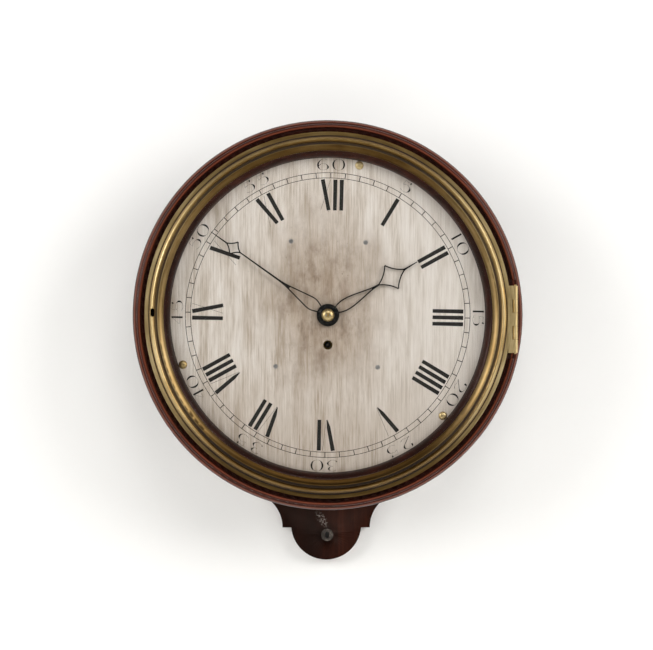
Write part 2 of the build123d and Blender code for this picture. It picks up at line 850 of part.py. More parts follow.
with BuildPart() as dial_plate:
    with BuildSketch(front_plane(ledge_depth)):
        Circle(dial_radius)
        Circle(centre_hole_radius, mode=Mode.SUBTRACT)
        with Locations((fusee_x, fusee_z)):
            Circle(winding_hole_radius, mode=Mode.SUBTRACT)
        for bearing in dial_screw_angles:
            with Locations(on_clock(dial_screw_circle, bearing)):
                Circle(dial_screw_shank_radius + screw_fit, mode=Mode.SUBTRACT)
        with Locations(*dial_feet_places):
            Circle(dial_foot_rivet_radius, mode=Mode.SUBTRACT)
    extrude(amount=dial_thickness)
dial_plate.part.label = "dial_plate"
export_step(dial_plate.part, "parts/dial_plate.step")

with BuildPart() as dial_screws:
    for bearing, slot_turn in zip(dial_screw_angles, dial_screw_slots):
        screw_x, screw_z = on_clock(dial_screw_circle, bearing)
        with BuildSketch(turning_plane(screw_x, screw_z)):
            with BuildLine():
                Polyline(
                    (0, dial_front - dial_screw_length),
                    (dial_screw_shank_radius, dial_front - dial_screw_length + 2.0),
                    (dial_screw_shank_radius, dial_front),
                    (dial_screw_head_radius, dial_front),
                )
                ThreePointArc(
                    (dial_screw_head_radius, dial_front),
                    (dial_screw_head_radius * 0.8, dial_front + dial_screw_head_height * 0.62),
                    (0, dial_front + dial_screw_head_height),
                )
                Line((0, dial_front + dial_screw_head_height), (0, dial_front - dial_screw_length))
            make_face()
        revolve(axis=turning_axis(screw_x, screw_z))
        with BuildSketch(front_plane(dial_front + dial_screw_head_height - screw_slot_depth, screw_x, screw_z)):
            Rectangle(3 * dial_screw_head_radius, screw_slot_width, rotation=slot_turn)
        extrude(amount=dial_screw_head_height, mode=Mode.SUBTRACT)
dial_screws.part.label = "dial_screws"
export_step(dial_screws.part, "parts/dial_screws.step")

foot_tail_end = front_plate_back - 2.6
foot_pin_depth = front_plate_back - 1.3

with BuildPart() as dial_feet:
    for foot_x, foot_z in dial_feet_places:
        with BuildSketch(turning_plane(foot_x, foot_z)):
            with BuildLine():
                Polyline(
                    (0, foot_tail_end),
                    (dial_foot_tail_radius, foot_tail_end),
                    (dial_foot_tail_radius, front_plate_front),
                    (dial_foot_radius, front_plate_front),
                    (dial_foot_radius, ledge_depth),
                    (dial_foot_rivet_radius, ledge_depth),
                    (dial_foot_rivet_radius, dial_front),
                    (0, dial_front),
                    (0, foot_tail_end),
                )
            make_face()
        revolve(axis=turning_axis(foot_x, foot_z))
        with BuildSketch(side_plane(foot_x)):
            with Locations((foot_pin_depth, foot_z)):
                Circle(pin_radius + screw_fit)
        extrude(amount=dial_foot_radius, both=True, mode=Mode.SUBTRACT)
dial_feet.part.label = "dial_feet"
export_step(dial_feet.part, "parts/dial_feet.step")


# Bezel, glass and the ring that keeps the glass in

with BuildPart() as bezel:
    with BuildSketch(turning_plane()):
        with BuildLine():
            Polyline(
                (rebate_radius, bezel_seat),
                (bezel_back_groove_inner, bezel_seat),
                (bezel_back_groove_inner, bezel_seat + bezel_back_groove_height),
                (bezel_back_groove_outer, bezel_seat + bezel_back_groove_height),
                (bezel_back_groove_outer, bezel_seat),
                (bezel_radius, bezel_seat),
                (bezel_radius, bezel_seat + flange_height),
                (flange_inner_radius, bezel_seat + flange_height),
                (groove_radius + 0.6, bezel_seat + flange_height - 0.4),
                (groove_radius, bezel_seat + groove_height),
            )
            ThreePointArc(
                (groove_radius, bezel_seat + groove_height),
                (bezel_bead_radius + 1.5, bezel_seat + bezel_bead_height - 2.4),
                (bezel_bead_radius, bezel_seat + bezel_bead_height),
            )
            ThreePointArc(
                (bezel_bead_radius, bezel_seat + bezel_bead_height),
                (bead_foot_radius + 0.5, bezel_seat + bezel_bead_height - 1.3),
                (bead_foot_radius, bezel_seat + quirk_height),
            )
            Polyline(
                (bead_foot_radius, bezel_seat + quirk_height),
                (bevel_top_radius + 0.4, bezel_seat + quirk_height),
                (bevel_top_radius, bezel_seat + bevel_top_height),
            )
            ThreePointArc(
                (bevel_top_radius, bezel_seat + bevel_top_height),
                (sight_radius + 2.9, bezel_seat + sight_edge_height + 0.9),
                (sight_radius, bezel_seat + sight_edge_height),
            )
            Polyline(
                (sight_radius, bezel_seat + sight_edge_height),
                (sight_radius, glass_front),
                (rebate_radius, glass_front),
                (rebate_radius, bezel_seat),
            )
        make_face()
    revolve(axis=Axis.Y)
    with BuildSketch(front_plane(bezel_seat, -keyhole_radius_from_centre, keyhole_up)):
        SlotOverall(keyhole_height, keyhole_width, rotation=90)
    extrude(amount=bezel_bead_height + 1.0, mode=Mode.SUBTRACT)
bezel.part.label = "bezel"
export_step(bezel.part, "parts/bezel.step")

with BuildPart() as glass:
    with BuildSketch(front_plane(glass_front - glass_thickness)):
        Circle(glass_radius)
    extrude(amount=glass_thickness)
glass.part.label = "glass"
export_step(glass.part, "parts/glass.step")

with BuildPart() as glass_retaining_ring:
    with BuildSketch(turning_plane()):
        with BuildLine():
            Polyline(
                (sight_radius + 0.6, glass_front - glass_thickness),
                (rebate_radius, glass_front - glass_thickness),
                (rebate_radius, glass_front - glass_thickness - retaining_ring_height),
                (rebate_radius - 0.8, glass_front - glass_thickness - retaining_ring_height),
                close=True,
            )
        make_face()
    revolve(axis=Axis.Y)
glass_retaining_ring.part.label = "glass_retaining_ring"
export_step(glass_retaining_ring.part, "parts/glass_retaining_ring.step")


# Hinge of the bezel: five knuckles on one pin

knuckle_size = knuckle_pitch - knuckle_gap
hinge_top = hinge_low + hinge_length
bezel_knuckles = [hinge_low + (n + 0.5) * knuckle_pitch for n in range(0, knuckle_count, 2)]
case_knuckles = [hinge_low + (n + 0.5) * knuckle_pitch for n in range(1, knuckle_count, 2)]
leaf_back = bezel_seat + flange_height
rivet_x = leaf_inner_x + leaf_screw_head_radius - 0.4

with BuildPart() as bezel_hinge_leaf:
    # plate on the flange, ending short of the case's knuckles
    with BuildSketch(front_plane(leaf_back)):
        with Locations(((leaf_inner_x + hinge_axis_x - knuckle_radius - knuckle_gap) / 2, hinge_centre_height)):
            Rectangle(hinge_axis_x - knuckle_radius - knuckle_gap - leaf_inner_x, hinge_length)
        for middle in bezel_knuckles:
            with Locations(((leaf_inner_x + hinge_axis_x) / 2, middle)):
                Rectangle(hinge_axis_x - leaf_inner_x, knuckle_size)
    extrude(amount=leaf_thickness)
    for middle in bezel_knuckles:
        with BuildSketch(Plane.XY.offset(middle - knuckle_size / 2)):
            with Locations((hinge_axis_x, -hinge_axis_depth)):
                Circle(knuckle_radius)
        extrude(amount=knuckle_size)
    with BuildSketch(Plane.XY.offset(hinge_low)):
        with Locations((hinge_axis_x, -hinge_axis_depth)):
            Circle(hinge_pin_radius)
    extrude(amount=hinge_length, mode=Mode.SUBTRACT)
bezel_hinge_leaf.part.label = "bezel_hinge_leaf"
export_step(bezel_hinge_leaf.part, "parts/bezel_hinge_leaf.step")

with BuildPart() as case_hinge_leaf:
    with BuildSketch(front_plane(notch_depth, 0, hinge_centre_height)):
        with Locations(((case_leaf_inner_x + case_leaf_outer_x) / 2, 0)):
            Rectangle(case_leaf_outer_x - case_leaf_inner_x, hinge_length)
        for place in leaf_screw_places:
            with Locations((case_screw_x, place)):
                Circle(leaf_screw_radius + screw_fit, mode=Mode.SUBTRACT)
    extrude(amount=leaf_thickness)
    for middle in case_knuckles:
        with BuildSketch(Plane.XY.offset(middle - knuckle_size / 2)):
            with Locations((hinge_axis_x, -hinge_axis_depth)):
                Circle(knuckle_radius)
            with Locations((case_leaf_outer_x - case_leaf_web / 2, -(notch_depth + hinge_axis_depth) / 2)):
                Rectangle(case_leaf_web, hinge_axis_depth - notch_depth)
        extrude(amount=knuckle_size)
    with BuildSketch(Plane.XY.offset(hinge_low)):
        with Locations((hinge_axis_x, -hinge_axis_depth)):
            Circle(hinge_pin_radius + running_fit)
    extrude(amount=hinge_length, mode=Mode.SUBTRACT)
case_hinge_leaf.part.label = "case_hinge_leaf"
export_step(case_hinge_leaf.part, "parts/case_hinge_leaf.step")

pin_cap = 1.0

with BuildPart() as bezel_hinge_pin:
    with BuildSketch(Plane.XY.offset(hinge_low - pin_cap)):
        with Locations((hinge_axis_x, -hinge_axis_depth)):
            Circle(hinge_pin_radius)
    extrude(amount=hinge_length + 2 * pin_cap)
bezel_hinge_pin.part.label = "bezel_hinge_pin"
export_step(bezel_hinge_pin.part, "parts/bezel_hinge_pin.step")


# Lock on the back of the bezel and its sliding bolt

lock_middle_x = -lock_outer_x + lock_reach / 2

with BuildPart() as lock_case:
    with BuildSketch(front_plane(bezel_seat - lock_depth, lock_middle_x, 0)):
        Rectangle(lock_reach, lock_width)
    extrude(amount=lock_depth)
    with BuildSketch(front_plane(bezel_seat - lock_depth + lock_wall, lock_middle_x, 0)):
        Rectangle(lock_reach - 2 * lock_wall, lock_width - 2 * lock_wall)
    extrude(amount=lock_depth - 2 * lock_wall, mode=Mode.SUBTRACT)
    with BuildSketch(front_plane(bolt_back - screw_fit, -lock_outer_x + lock_wall / 2, 0)):
        Rectangle(2 * lock_wall, bolt_width + 2 * screw_fit)
    extrude(amount=bolt_thickness + 2 * screw_fit, mode=Mode.SUBTRACT)
    with BuildSketch(front_plane(bezel_seat - lock_wall, -keyhole_radius_from_centre, keyhole_up)):
        SlotOverall(keyhole_height, keyhole_width, rotation=90)
    extrude(amount=lock_wall, mode=Mode.SUBTRACT)
lock_case.part.label = "lock_case"
export_step(lock_case.part, "parts/lock_case.step")

with BuildPart() as lock_bolt:
    with BuildSketch(front_plane(bolt_back, -lock_outer_x + bolt_length / 2, 0)):
        Rectangle(bolt_length, bolt_width)
    extrude(amount=bolt_thickness)
lock_bolt.part.label = "lock_bolt"
export_step(lock_bolt.part, "parts/lock_bolt.step")


# Screws of the case: hanging plate, hinge leaf and turn buttons

with BuildPart() as case_screws:
    with BuildSketch(front_plane(board_thickness + hanging_plate_thickness, 0, hanging_hole_height)):
        with GridLocations(hanging_screw_spacing_x, hanging_screw_spacing_z, 2, 2):
            Circle(leaf_screw_head_radius)
    extrude(amount=1.0)
    with BuildSketch(front_plane(board_thickness + hanging_plate_thickness, 0, hanging_hole_height)):
        with GridLocations(hanging_screw_spacing_x, hanging_screw_spacing_z, 2, 2):
            Circle(leaf_screw_radius)
    extrude(amount=-(hanging_plate_thickness + button_screw_grip))
    with BuildSketch(front_plane(notch_depth + leaf_thickness, case_screw_x, hinge_centre_height)):
        for place in leaf_screw_places:
            with Locations((0, place)):
                Circle(leaf_screw_head_radius)
    extrude(amount=0.8)
    with BuildSketch(front_plane(notch_depth + leaf_thickness, case_screw_x, hinge_centre_height)):
        for place in leaf_screw_places:
            with Locations((0, place)):
                Circle(leaf_screw_radius)
    extrude(amount=-(leaf_thickness + screw_sink))
    with BuildSketch(side_plane(box_half_width + button_stand_off + button_thickness + screw_fit)):
        with Locations((button_pivot_depth, 0)):
            Circle(button_screw_head_radius)
    extrude(amount=-button_screw_head_height)
    with BuildSketch(side_plane(box_half_width + button_stand_off + button_thickness + screw_fit)):
        with Locations((button_pivot_depth, 0)):
            Circle(button_screw_radius)
    extrude(amount=button_stand_off + button_thickness + screw_fit + button_screw_grip)
    with BuildSketch(level_plane(box_bottom_height - button_stand_off - button_thickness - screw_fit)):
        with Locations((0, button_pivot_depth)):
            Circle(button_screw_head_radius)
    extrude(amount=button_screw_head_height)
    with BuildSketch(level_plane(box_bottom_height - button_stand_off - button_thickness - screw_fit)):
        with Locations((0, button_pivot_depth)):
            Circle(button_screw_radius)
    extrude(amount=-(button_stand_off + button_thickness + screw_fit + button_screw_grip))
case_screws.part.label = "case_screws"
export_step(case_screws.part, "parts/case_screws.step")


# Plates and pillars of the movement

pillar_places = [(x, z) for x in (-pillar_x, pillar_x) for z in (-pillar_z, pillar_z)]
bridge_screw_x = bridge_half_length - bridge_foot / 2
cock_screw_x = cock_half_width - cock_foot / 2
click_x = barrel_x + click_reach * cos(radians(click_bearing))
click_z = barrel_z + click_reach * sin(radians(click_bearing))
minute_wheel_z = motion_distance

with BuildPart() as front_plate:
    with BuildSketch(front_plane(front_plate_back)):
        RectangleRounded(2 * plate_half_width, 2 * plate_half_height, plate_corner)
        with Locations(*pillar_places):
            Circle(pillar_tail_radius + screw_fit, mode=Mode.SUBTRACT)
        with Locations(*dial_feet_places):
            Circle(dial_foot_tail_radius + screw_fit, mode=Mode.SUBTRACT)
        Circle(arbor_radius + running_fit, mode=Mode.SUBTRACT)
        with Locations((third_x, third_z), (0, escape_z), (0, pallet_z)):
            Circle(pivot_radius + running_fit, mode=Mode.SUBTRACT)
        with Locations((fusee_x, fusee_z)):
            Circle(fusee_arbor_radius + running_fit, mode=Mode.SUBTRACT)
        with Locations((barrel_x, barrel_z)):
            Circle(barrel_arbor_radius + running_fit, mode=Mode.SUBTRACT)
        with Locations((-bridge_screw_x, 0), (bridge_screw_x, 0)):
            Circle(plate_screw_radius + screw_fit, mode=Mode.SUBTRACT)
    extrude(amount=plate_thickness)
    # stud of the minute wheel and pivot of the set-up click
    with BuildSketch(front_plane(front_plate_front, 0, minute_wheel_z)):
        Circle(minute_stud_radius)
    extrude(amount=hour_wheel_depth + wheel_thickness + 1.6 - front_plate_front)
    with BuildSketch(front_plane(front_plate_front, click_x, click_z)):
        Circle(click_pivot_radius)
    extrude(amount=ratchet_thickness + 1.4)
    # lugs that carry the stop arm
    with BuildSketch(front_plane(front_plate_back, stop_pivot_x, stop_height)):
        for side in (-1, 1):
            with Locations((0, side * (stop_width / 2 + 1.6))):
                Rectangle(3.0, 2.4)
    extrude(amount=-4.2)
    with BuildSketch(Plane.XY.offset(stop_height - stop_width - 2.0)):
        with Locations((stop_pivot_x, -(stop_depth + stop_thickness / 2))):
            Circle(stop_pivot_radius + running_fit)
    extrude(amount=2 * stop_width + 4.0, mode=Mode.SUBTRACT)
front_plate.part.label = "front_plate"
export_step(front_plate.part, "parts/front_plate.step")

with BuildPart() as back_plate:
    with BuildSketch(front_plane(back_plate_back)):
        RectangleRounded(2 * plate_half_width, 2 * plate_half_height, plate_corner)
        with Locations(*pillar_places):
            Circle(pillar_tail_radius + screw_fit, mode=Mode.SUBTRACT)
        with Locations((third_x, third_z), (0, escape_z), (0, 0)):
            Circle(pivot_radius + running_fit, mode=Mode.SUBTRACT)
        with Locations((0, pallet_z)):
            Circle(3 * arbor_radius, mode=Mode.SUBTRACT)
        with Locations((fusee_x, fusee_z), (barrel_x, barrel_z)):
            Circle(fusee_rear_pivot_radius + running_fit, mode=Mode.SUBTRACT)
        with Locations((-cock_screw_x, pallet_z), (cock_screw_x, pallet_z)):
            Circle(plate_screw_radius + screw_fit, mode=Mode.SUBTRACT)
    extrude(amount=plate_thickness)
back_plate.part.label = "back_plate"
export_step(back_plate.part, "parts/back_plate.step")

pillar_middle = (back_plate_front + front_plate_back) / 2
pillar_tail_end = front_plate_front + pillar_tail_length
pillar_pin_depth = front_plate_front + pin_radius + 0.1

with BuildPart() as pillars:
    for place_x, place_z in pillar_places:
        with BuildSketch(turning_plane(place_x, place_z)):
            with BuildLine():
                Polyline(
                    (0, back_plate_back),
                    (pillar_tail_radius, back_plate_back),
                    (pillar_tail_radius, back_plate_front),
                    (pillar_shoulder_radius, back_plate_front),
                    (pillar_shoulder_radius, back_plate_front + pillar_shoulder),
                    (pillar_waist_radius, back_plate_front + pillar_shoulder + 1.5),
                    (pillar_waist_radius, pillar_middle - 5.0),
                )
                ThreePointArc(
                    (pillar_waist_radius, pillar_middle - 5.0),
                    (pillar_knop_radius, pillar_middle),
                    (pillar_waist_radius, pillar_middle + 5.0),
                )
                Polyline(
                    (pillar_waist_radius, pillar_middle + 5.0),
                    (pillar_waist_radius, front_plate_back - pillar_shoulder - 1.5),
                    (pillar_shoulder_radius, front_plate_back - pillar_shoulder),
                    (pillar_shoulder_radius, front_plate_back),
                    (pillar_tail_radius, front_plate_back),
                    (pillar_tail_radius, pillar_tail_end),
                    (0, pillar_tail_end),
                    (0, back_plate_back),
                )
            make_face()
        revolve(axis=turning_axis(place_x, place_z))
        with BuildSketch(side_plane(place_x)):
            with Locations((pillar_pin_depth, place_z)):
                Circle(pin_radius + screw_fit)
        extrude(amount=pillar_shoulder_radius, both=True, mode=Mode.SUBTRACT)
pillars.part.label = "pillars"
export_step(pillars.part, "parts/pillars.step")

with BuildPart() as movement_fixings:
    for place_x, place_z in pillar_places:
        with BuildSketch(side_plane(place_x)):
            with Locations((pillar_pin_depth, place_z)):
                Circle(pin_radius)
        extrude(amount=pin_length / 2, both=True)
    for foot_x, foot_z in dial_feet_places:
        with BuildSketch(side_plane(foot_x)):
            with Locations((foot_pin_depth, foot_z)):
                Circle(pin_radius)
        extrude(amount=pin_length / 2 - 1.0, both=True)
    with BuildSketch(side_plane(0)):
        with Locations((pendulum_depth, pallet_z + spring_pin_height)):
            Circle(spring_pin_radius)
    extrude(amount=cock_nose_half_width + 1.0, both=True)
    with BuildSketch(Plane.XY.offset(stop_height - stop_width / 2 - 2.8)):
        with Locations((stop_pivot_x, -(stop_depth + stop_thickness / 2))):
            Circle(stop_pivot_radius)
    extrude(amount=stop_width + 5.6)
    for side in (-1, 1):
        with BuildSketch(front_plane(bridge_depth + bridge_thickness, side * bridge_screw_x, 0)):
            Circle(plate_screw_head_radius)
        extrude(amount=plate_screw_head_height)
        with BuildSketch(front_plane(front_plate_back, side * bridge_screw_x, 0)):
            Circle(plate_screw_radius)
        extrude(amount=bridge_depth + bridge_thickness - front_plate_back)
        with BuildSketch(front_plane(cock_depth, side * cock_screw_x, pallet_z)):
            Circle(plate_screw_head_radius)
        extrude(amount=-plate_screw_head_height)
        with BuildSketch(front_plane(cock_depth, side * cock_screw_x, pallet_z)):
            Circle(plate_screw_radius)
        extrude(amount=back_plate_front - cock_depth)
movement_fixings.part.label = "movement_fixings"
export_step(movement_fixings.part, "parts/movement_fixings.step")


# Great wheel and fusee

great_arbor_bore = fusee_arbor_radius + 0.5

with BuildPart() as great_wheel:
    with BuildSketch(front_plane(great_wheel_depth, fusee_x, fusee_z)):
        with BuildLine():
            Polyline(*tooth_outline(great_teeth, great_module, wheel_tooth, 90), close=True)
        make_face()
        cross_out(great_module * great_teeth / 2 - 4.0, 12.0, 2, 4.0)
        Circle(great_arbor_bore + running_fit, mode=Mode.SUBTRACT)
    extrude(amount=great_wheel_thickness)
great_wheel.part.label = "great_wheel"
export_step(great_wheel.part, "parts/great_wheel.step")


def fusee_radius(place):
    """Crest radius of the fusee, falling as the spring's pull grows."""
    share = place / groove_count
    flare = (fusee_large_radius / fusee_small_radius) - 1
    return fusee_large_radius / (1 + flare * share)


fusee_profile = [(great_arbor_bore, great_wheel_depth - 0.8), (great_arbor_bore, fusee_start)]
for index in range(groove_count):
    crest_depth = fusee_start + index * groove_pitch
    fusee_profile.append((fusee_radius(index) if index else fusee_large_radius, crest_depth))
    fusee_profile.append((fusee_radius(index + 0.5) - groove_sink, crest_depth + groove_pitch / 2))
fusee_end = fusee_start + groove_count * groove_pitch
fusee_profile.append((fusee_small_radius, fusee_end))
fusee_profile.append((fusee_small_radius, fusee_end + 1.0))

with BuildPart() as fusee:
    with BuildSketch(turning_plane(fusee_x, fusee_z)):
        with BuildLine():
            Polyline(
                (0, back_plate_back),
                (fusee_rear_pivot_radius, back_plate_back),
                (fusee_rear_pivot_radius, back_plate_front + shoulder_gap),
                (great_arbor_bore, back_plate_front + shoulder_gap),
                *fusee_profile,
                (fusee_arbor_radius, fusee_end + 1.0),
                (fusee_arbor_radius, front_plate_front + 3.0),
                (0, front_plate_front + 3.0),
                (0, back_plate_back),
            )
        make_face()
    revolve(axis=turning_axis(fusee_x, fusee_z))
    with BuildSketch(front_plane(front_plate_front + 3.0, fusee_x, fusee_z)):
        Rectangle(winding_square, winding_square)
    extrude(amount=winding_square_depth - front_plate_front - 3.0)
fusee.part.label = "fusee"
export_step(fusee.part, "parts/fusee.step")

with BuildPart() as gut_on_fusee:
    for index in range(wound_grooves):
        with BuildSketch(turning_plane(fusee_x, fusee_z)):
            with Locations((fusee_radius(index + 0.5), fusee_start + (index + 0.5) * groove_pitch)):
                Circle(gut_radius)
        revolve(axis=turning_axis(fusee_x, fusee_z))
gut_on_fusee.part.label = "gut_on_fusee"
export_step(gut_on_fusee.part, "parts/gut_on_fusee.step")

# The free run of the line touches fusee and barrel on the same side
line_depth = fusee_start + (wound_grooves + 0.5) * groove_pitch
line_fusee_radius = fusee_radius(wound_grooves + 0.5) + gut_radius + loose_fit
line_barrel_radius = barrel_radius + gut_radius + loose_fit
line_turn = degrees(asin((line_barrel_radius - line_fusee_radius) / barrel_distance))
line_normal = radians(barrel_bearing - 90 - line_turn)
line_start = (
    fusee_x + line_fusee_radius * cos(line_normal),
    -line_depth,
    fusee_z + line_fusee_radius * sin(line_normal),
)
line_end = (
    barrel_x + line_barrel_radius * cos(line_normal),
    -line_depth,
    barrel_z + line_barrel_radius * sin(line_normal),
)

with BuildPart() as gut_line:
    with BuildSketch(Plane(origin=line_start, z_dir=Vector(*line_end) - Vector(*line_start))):
        Circle(gut_radius)
    extrude(amount=(Vector(*line_end) - Vector(*line_start)).length)
gut_line.part.label = "gut_line"
export_step(gut_line.part, "parts/gut_line.step")


# Spring barrel

barrel_end = barrel_start + barrel_length

with BuildPart() as barrel:
    with BuildSketch(turning_plane(barrel_x, barrel_z)):
        with BuildLine():
            Polyline(
                (barrel_arbor_radius + running_fit, barrel_start),
                (barrel_radius, barrel_start),
                (barrel_radius, barrel_end),
                (barrel_radius - barrel_wall, barrel_end),
                (barrel_radius - barrel_wall, barrel_start + barrel_wall),
                (barrel_arbor_radius + running_fit, barrel_start + barrel_wall),
                close=True,
            )
        make_face()
    revolve(axis=turning_axis(barrel_x, barrel_z))
barrel.part.label = "barrel"
export_step(barrel.part, "parts/barrel.step")

with BuildPart() as barrel_cap:
    with BuildSketch(front_plane(barrel_end, barrel_x, barrel_z)):
        Circle(barrel_radius + barrel_cap_overhang)
        Circle(barrel_arbor_radius + running_fit, mode=Mode.SUBTRACT)
    extrude(amount=barrel_cap_thickness)
barrel_cap.part.label = "barrel_cap"
export_step(barrel_cap.part, "parts/barrel_cap.step")

spring_inner_radius = barrel_hub_radius + spring_margin
spring_outer_radius = barrel_radius - barrel_wall - spring_thickness / 2 - loose_fit
spring_pitch = (spring_outer_radius - spring_inner_radius) / spring_turns
spring_start = barrel_start + barrel_wall + spring_margin
spring_width = barrel_length - barrel_wall - 2 * spring_margin
spring_line = [
    (
        (spring_inner_radius + spring_pitch * step / 8) * cos(2 * pi * step / 8),
        (spring_inner_radius + spring_pitch * step / 8) * sin(2 * pi * step / 8),
    )
    for step in range(8 * spring_turns + 1)
]

with BuildPart() as mainspring:
    with BuildSketch(front_plane(spring_start, barrel_x, barrel_z)):
        with BuildLine():
            Spline(*spring_line)
        trace(line_width=spring_thickness)
    extrude(amount=spring_width)
mainspring.part.label = "mainspring"
export_step(mainspring.part, "parts/mainspring.step")

ratchet_depth = front_plate_front + 0.3

with BuildPart() as barrel_arbor:
    with BuildSketch(turning_plane(barrel_x, barrel_z)):
        with BuildLine():
            Polyline(
                (0, back_plate_back),
                (fusee_rear_pivot_radius, back_plate_back),
                (fusee_rear_pivot_radius, back_plate_front + shoulder_gap),
                (barrel_arbor_radius, back_plate_front + shoulder_gap),
                (barrel_arbor_radius, barrel_start + barrel_wall + shoulder_gap),
                (barrel_hub_radius, barrel_start + barrel_wall + shoulder_gap),
                (barrel_hub_radius, barrel_end - shoulder_gap),
                (barrel_arbor_radius, barrel_end - shoulder_gap),
                (barrel_arbor_radius, ratchet_depth),
                (0, ratchet_depth),
                (0, back_plate_back),
            )
        make_face()
    revolve(axis=turning_axis(barrel_x, barrel_z))
    with BuildSketch(front_plane(ratchet_depth, barrel_x, barrel_z)):
        with BuildLine():
            Polyline(*slanted_outline(ratchet_teeth, ratchet_radius, ratchet_root_radius, 0.5, 0), close=True)
        make_face()
    extrude(amount=ratchet_thickness)
    with BuildSketch(front_plane(ratchet_depth + ratchet_thickness, barrel_x, barrel_z)):
        Rectangle(winding_square, winding_square)
    extrude(amount=5.0)
barrel_arbor.part.label = "barrel_arbor"
export_step(barrel_arbor.part, "parts/barrel_arbor.step")

click_tip = click_reach - ratchet_radius - 0.5

with BuildPart() as setup_click:
    with BuildSketch(front_plane(ratchet_depth, click_x, click_z)):
        Circle(click_width)
        with BuildLine():
            Polyline(
                (0, click_width),
                (-click_tip * cos(radians(click_bearing)) + 1.2, click_width * 0.2),
                (-click_tip * cos(radians(click_bearing)), -click_tip * sin(radians(click_bearing))),
                (0, -click_width),
                close=True,
            )
        make_face()
        Circle(click_pivot_radius + running_fit, mode=Mode.SUBTRACT)
    extrude(amount=ratchet_thickness)
setup_click.part.label = "setup_click"
export_step(setup_click.part, "parts/setup_click.step")

# Stop arm beside the fusee
with BuildPart() as fusee_stop:
    with BuildSketch(front_plane(stop_depth, stop_pivot_x - stop_length / 2, stop_height)):
        Rectangle(stop_length, stop_width)
    extrude(amount=stop_thickness)
    with BuildSketch(Plane.XY.offset(stop_height - stop_width / 2)):
        with Locations((stop_pivot_x, -(stop_depth + stop_thickness / 2))):
            Circle(2 * stop_pivot_radius)
    extrude(amount=stop_width)
    with BuildSketch(Plane.XY.offset(stop_height - stop_width / 2)):
        with Locations((stop_pivot_x, -(stop_depth + stop_thickness / 2))):
            Circle(stop_pivot_radius + running_fit)
    extrude(amount=stop_width, mode=Mode.SUBTRACT)
fusee_stop.part.label = "fusee_stop"
export_step(fusee_stop.part, "parts/fusee_stop.step")


# Going train: each wheel with its arbor and pinion

great_mesh = mesh_angle(-fusee_x, -fusee_z)
third_mesh = mesh_angle(third_x, third_z)
escape_mesh = mesh_angle(-third_x, escape_z - third_z)
centre_pinion_depth = great_wheel_depth - 1.0
centre_pinion_length = great_wheel_thickness + 3.0
third_pinion_depth = centre_wheel_depth - 0.8
third_pinion_length = wheel_thickness + 1.6
escape_pinion_depth = third_wheel_depth - 1.0
escape_pinion_length = wheel_thickness + 2.0

with BuildPart() as centre_wheel:
    with BuildSketch(turning_plane()):
        with BuildLine():
            Polyline(
                (0, back_plate_back),
                (pivot_radius, back_plate_back),
                (pivot_radius, back_plate_front + shoulder_gap),
                (arbor_radius, back_plate_front + shoulder_gap),
                (arbor_radius, minute_hand_depth + boss_thickness - 0.6),
                (centre_end_radius, minute_hand_depth + boss_thickness - 0.6),
                (centre_end_radius, centre_end_depth),
                (0, centre_end_depth),
                close=True,
            )
        make_face()
    revolve(axis=Axis.Y)
    with BuildSketch(front_plane(centre_pinion_depth)):
        with BuildLine():
            Polyline(
                *tooth_outline(
                    centre_pinion_leaves, great_module, leaf_tooth, great_mesh + 180 + 180 / centre_pinion_leaves
                ),
                close=True,
            )
        make_face()
    extrude(amount=centre_pinion_length)
    with BuildSketch(front_plane(centre_wheel_depth)):
        with BuildLine():
            Polyline(*tooth_outline(centre_teeth, centre_module, wheel_tooth, third_mesh), close=True)
        make_face()
        cross_out(centre_module * centre_teeth / 2 - 2.6, 5.0, 2, 2.2)
    extrude(amount=wheel_thickness)
    with BuildSketch(side_plane(0)):
        with Locations((centre_end_depth - 1.2, 0)):
            Circle(pin_radius - 0.1 + screw_fit)
    extrude(amount=arbor_radius, both=True, mode=Mode.SUBTRACT)
centre_wheel.part.label = "centre_wheel"
export_step(centre_wheel.part, "parts/centre_wheel.step")

with BuildPart() as third_wheel:
    with BuildSketch(turning_plane(third_x, third_z)):
        with BuildLine():
            Polyline(
                (0, back_plate_back),
                (pivot_radius, back_plate_back),
                (pivot_radius, back_plate_front + shoulder_gap),
                (arbor_radius, back_plate_front + shoulder_gap),
                (arbor_radius, third_pinion_depth),
                (pivot_radius, third_pinion_depth),
                (pivot_radius, front_plate_front),
                (0, front_plate_front),
                close=True,
            )
        make_face()
    revolve(axis=turning_axis(third_x, third_z))
    with BuildSketch(front_plane(third_pinion_depth, third_x, third_z)):
        with BuildLine():
            Polyline(
                *tooth_outline(
                    third_pinion_leaves, centre_module, leaf_tooth, third_mesh + 180 + 180 / third_pinion_leaves
                ),
                close=True,
            )
        make_face()
    extrude(amount=third_pinion_length)
    with BuildSketch(front_plane(third_wheel_depth, third_x, third_z)):
        with BuildLine():
            Polyline(*tooth_outline(third_teeth, third_module, wheel_tooth, escape_mesh), close=True)
        make_face()
        cross_out(third_module * third_teeth / 2 - 2.4, 4.4, 2, 2.0)
    extrude(amount=wheel_thickness)
third_wheel.part.label = "third_wheel"
export_step(third_wheel.part, "parts/third_wheel.step")

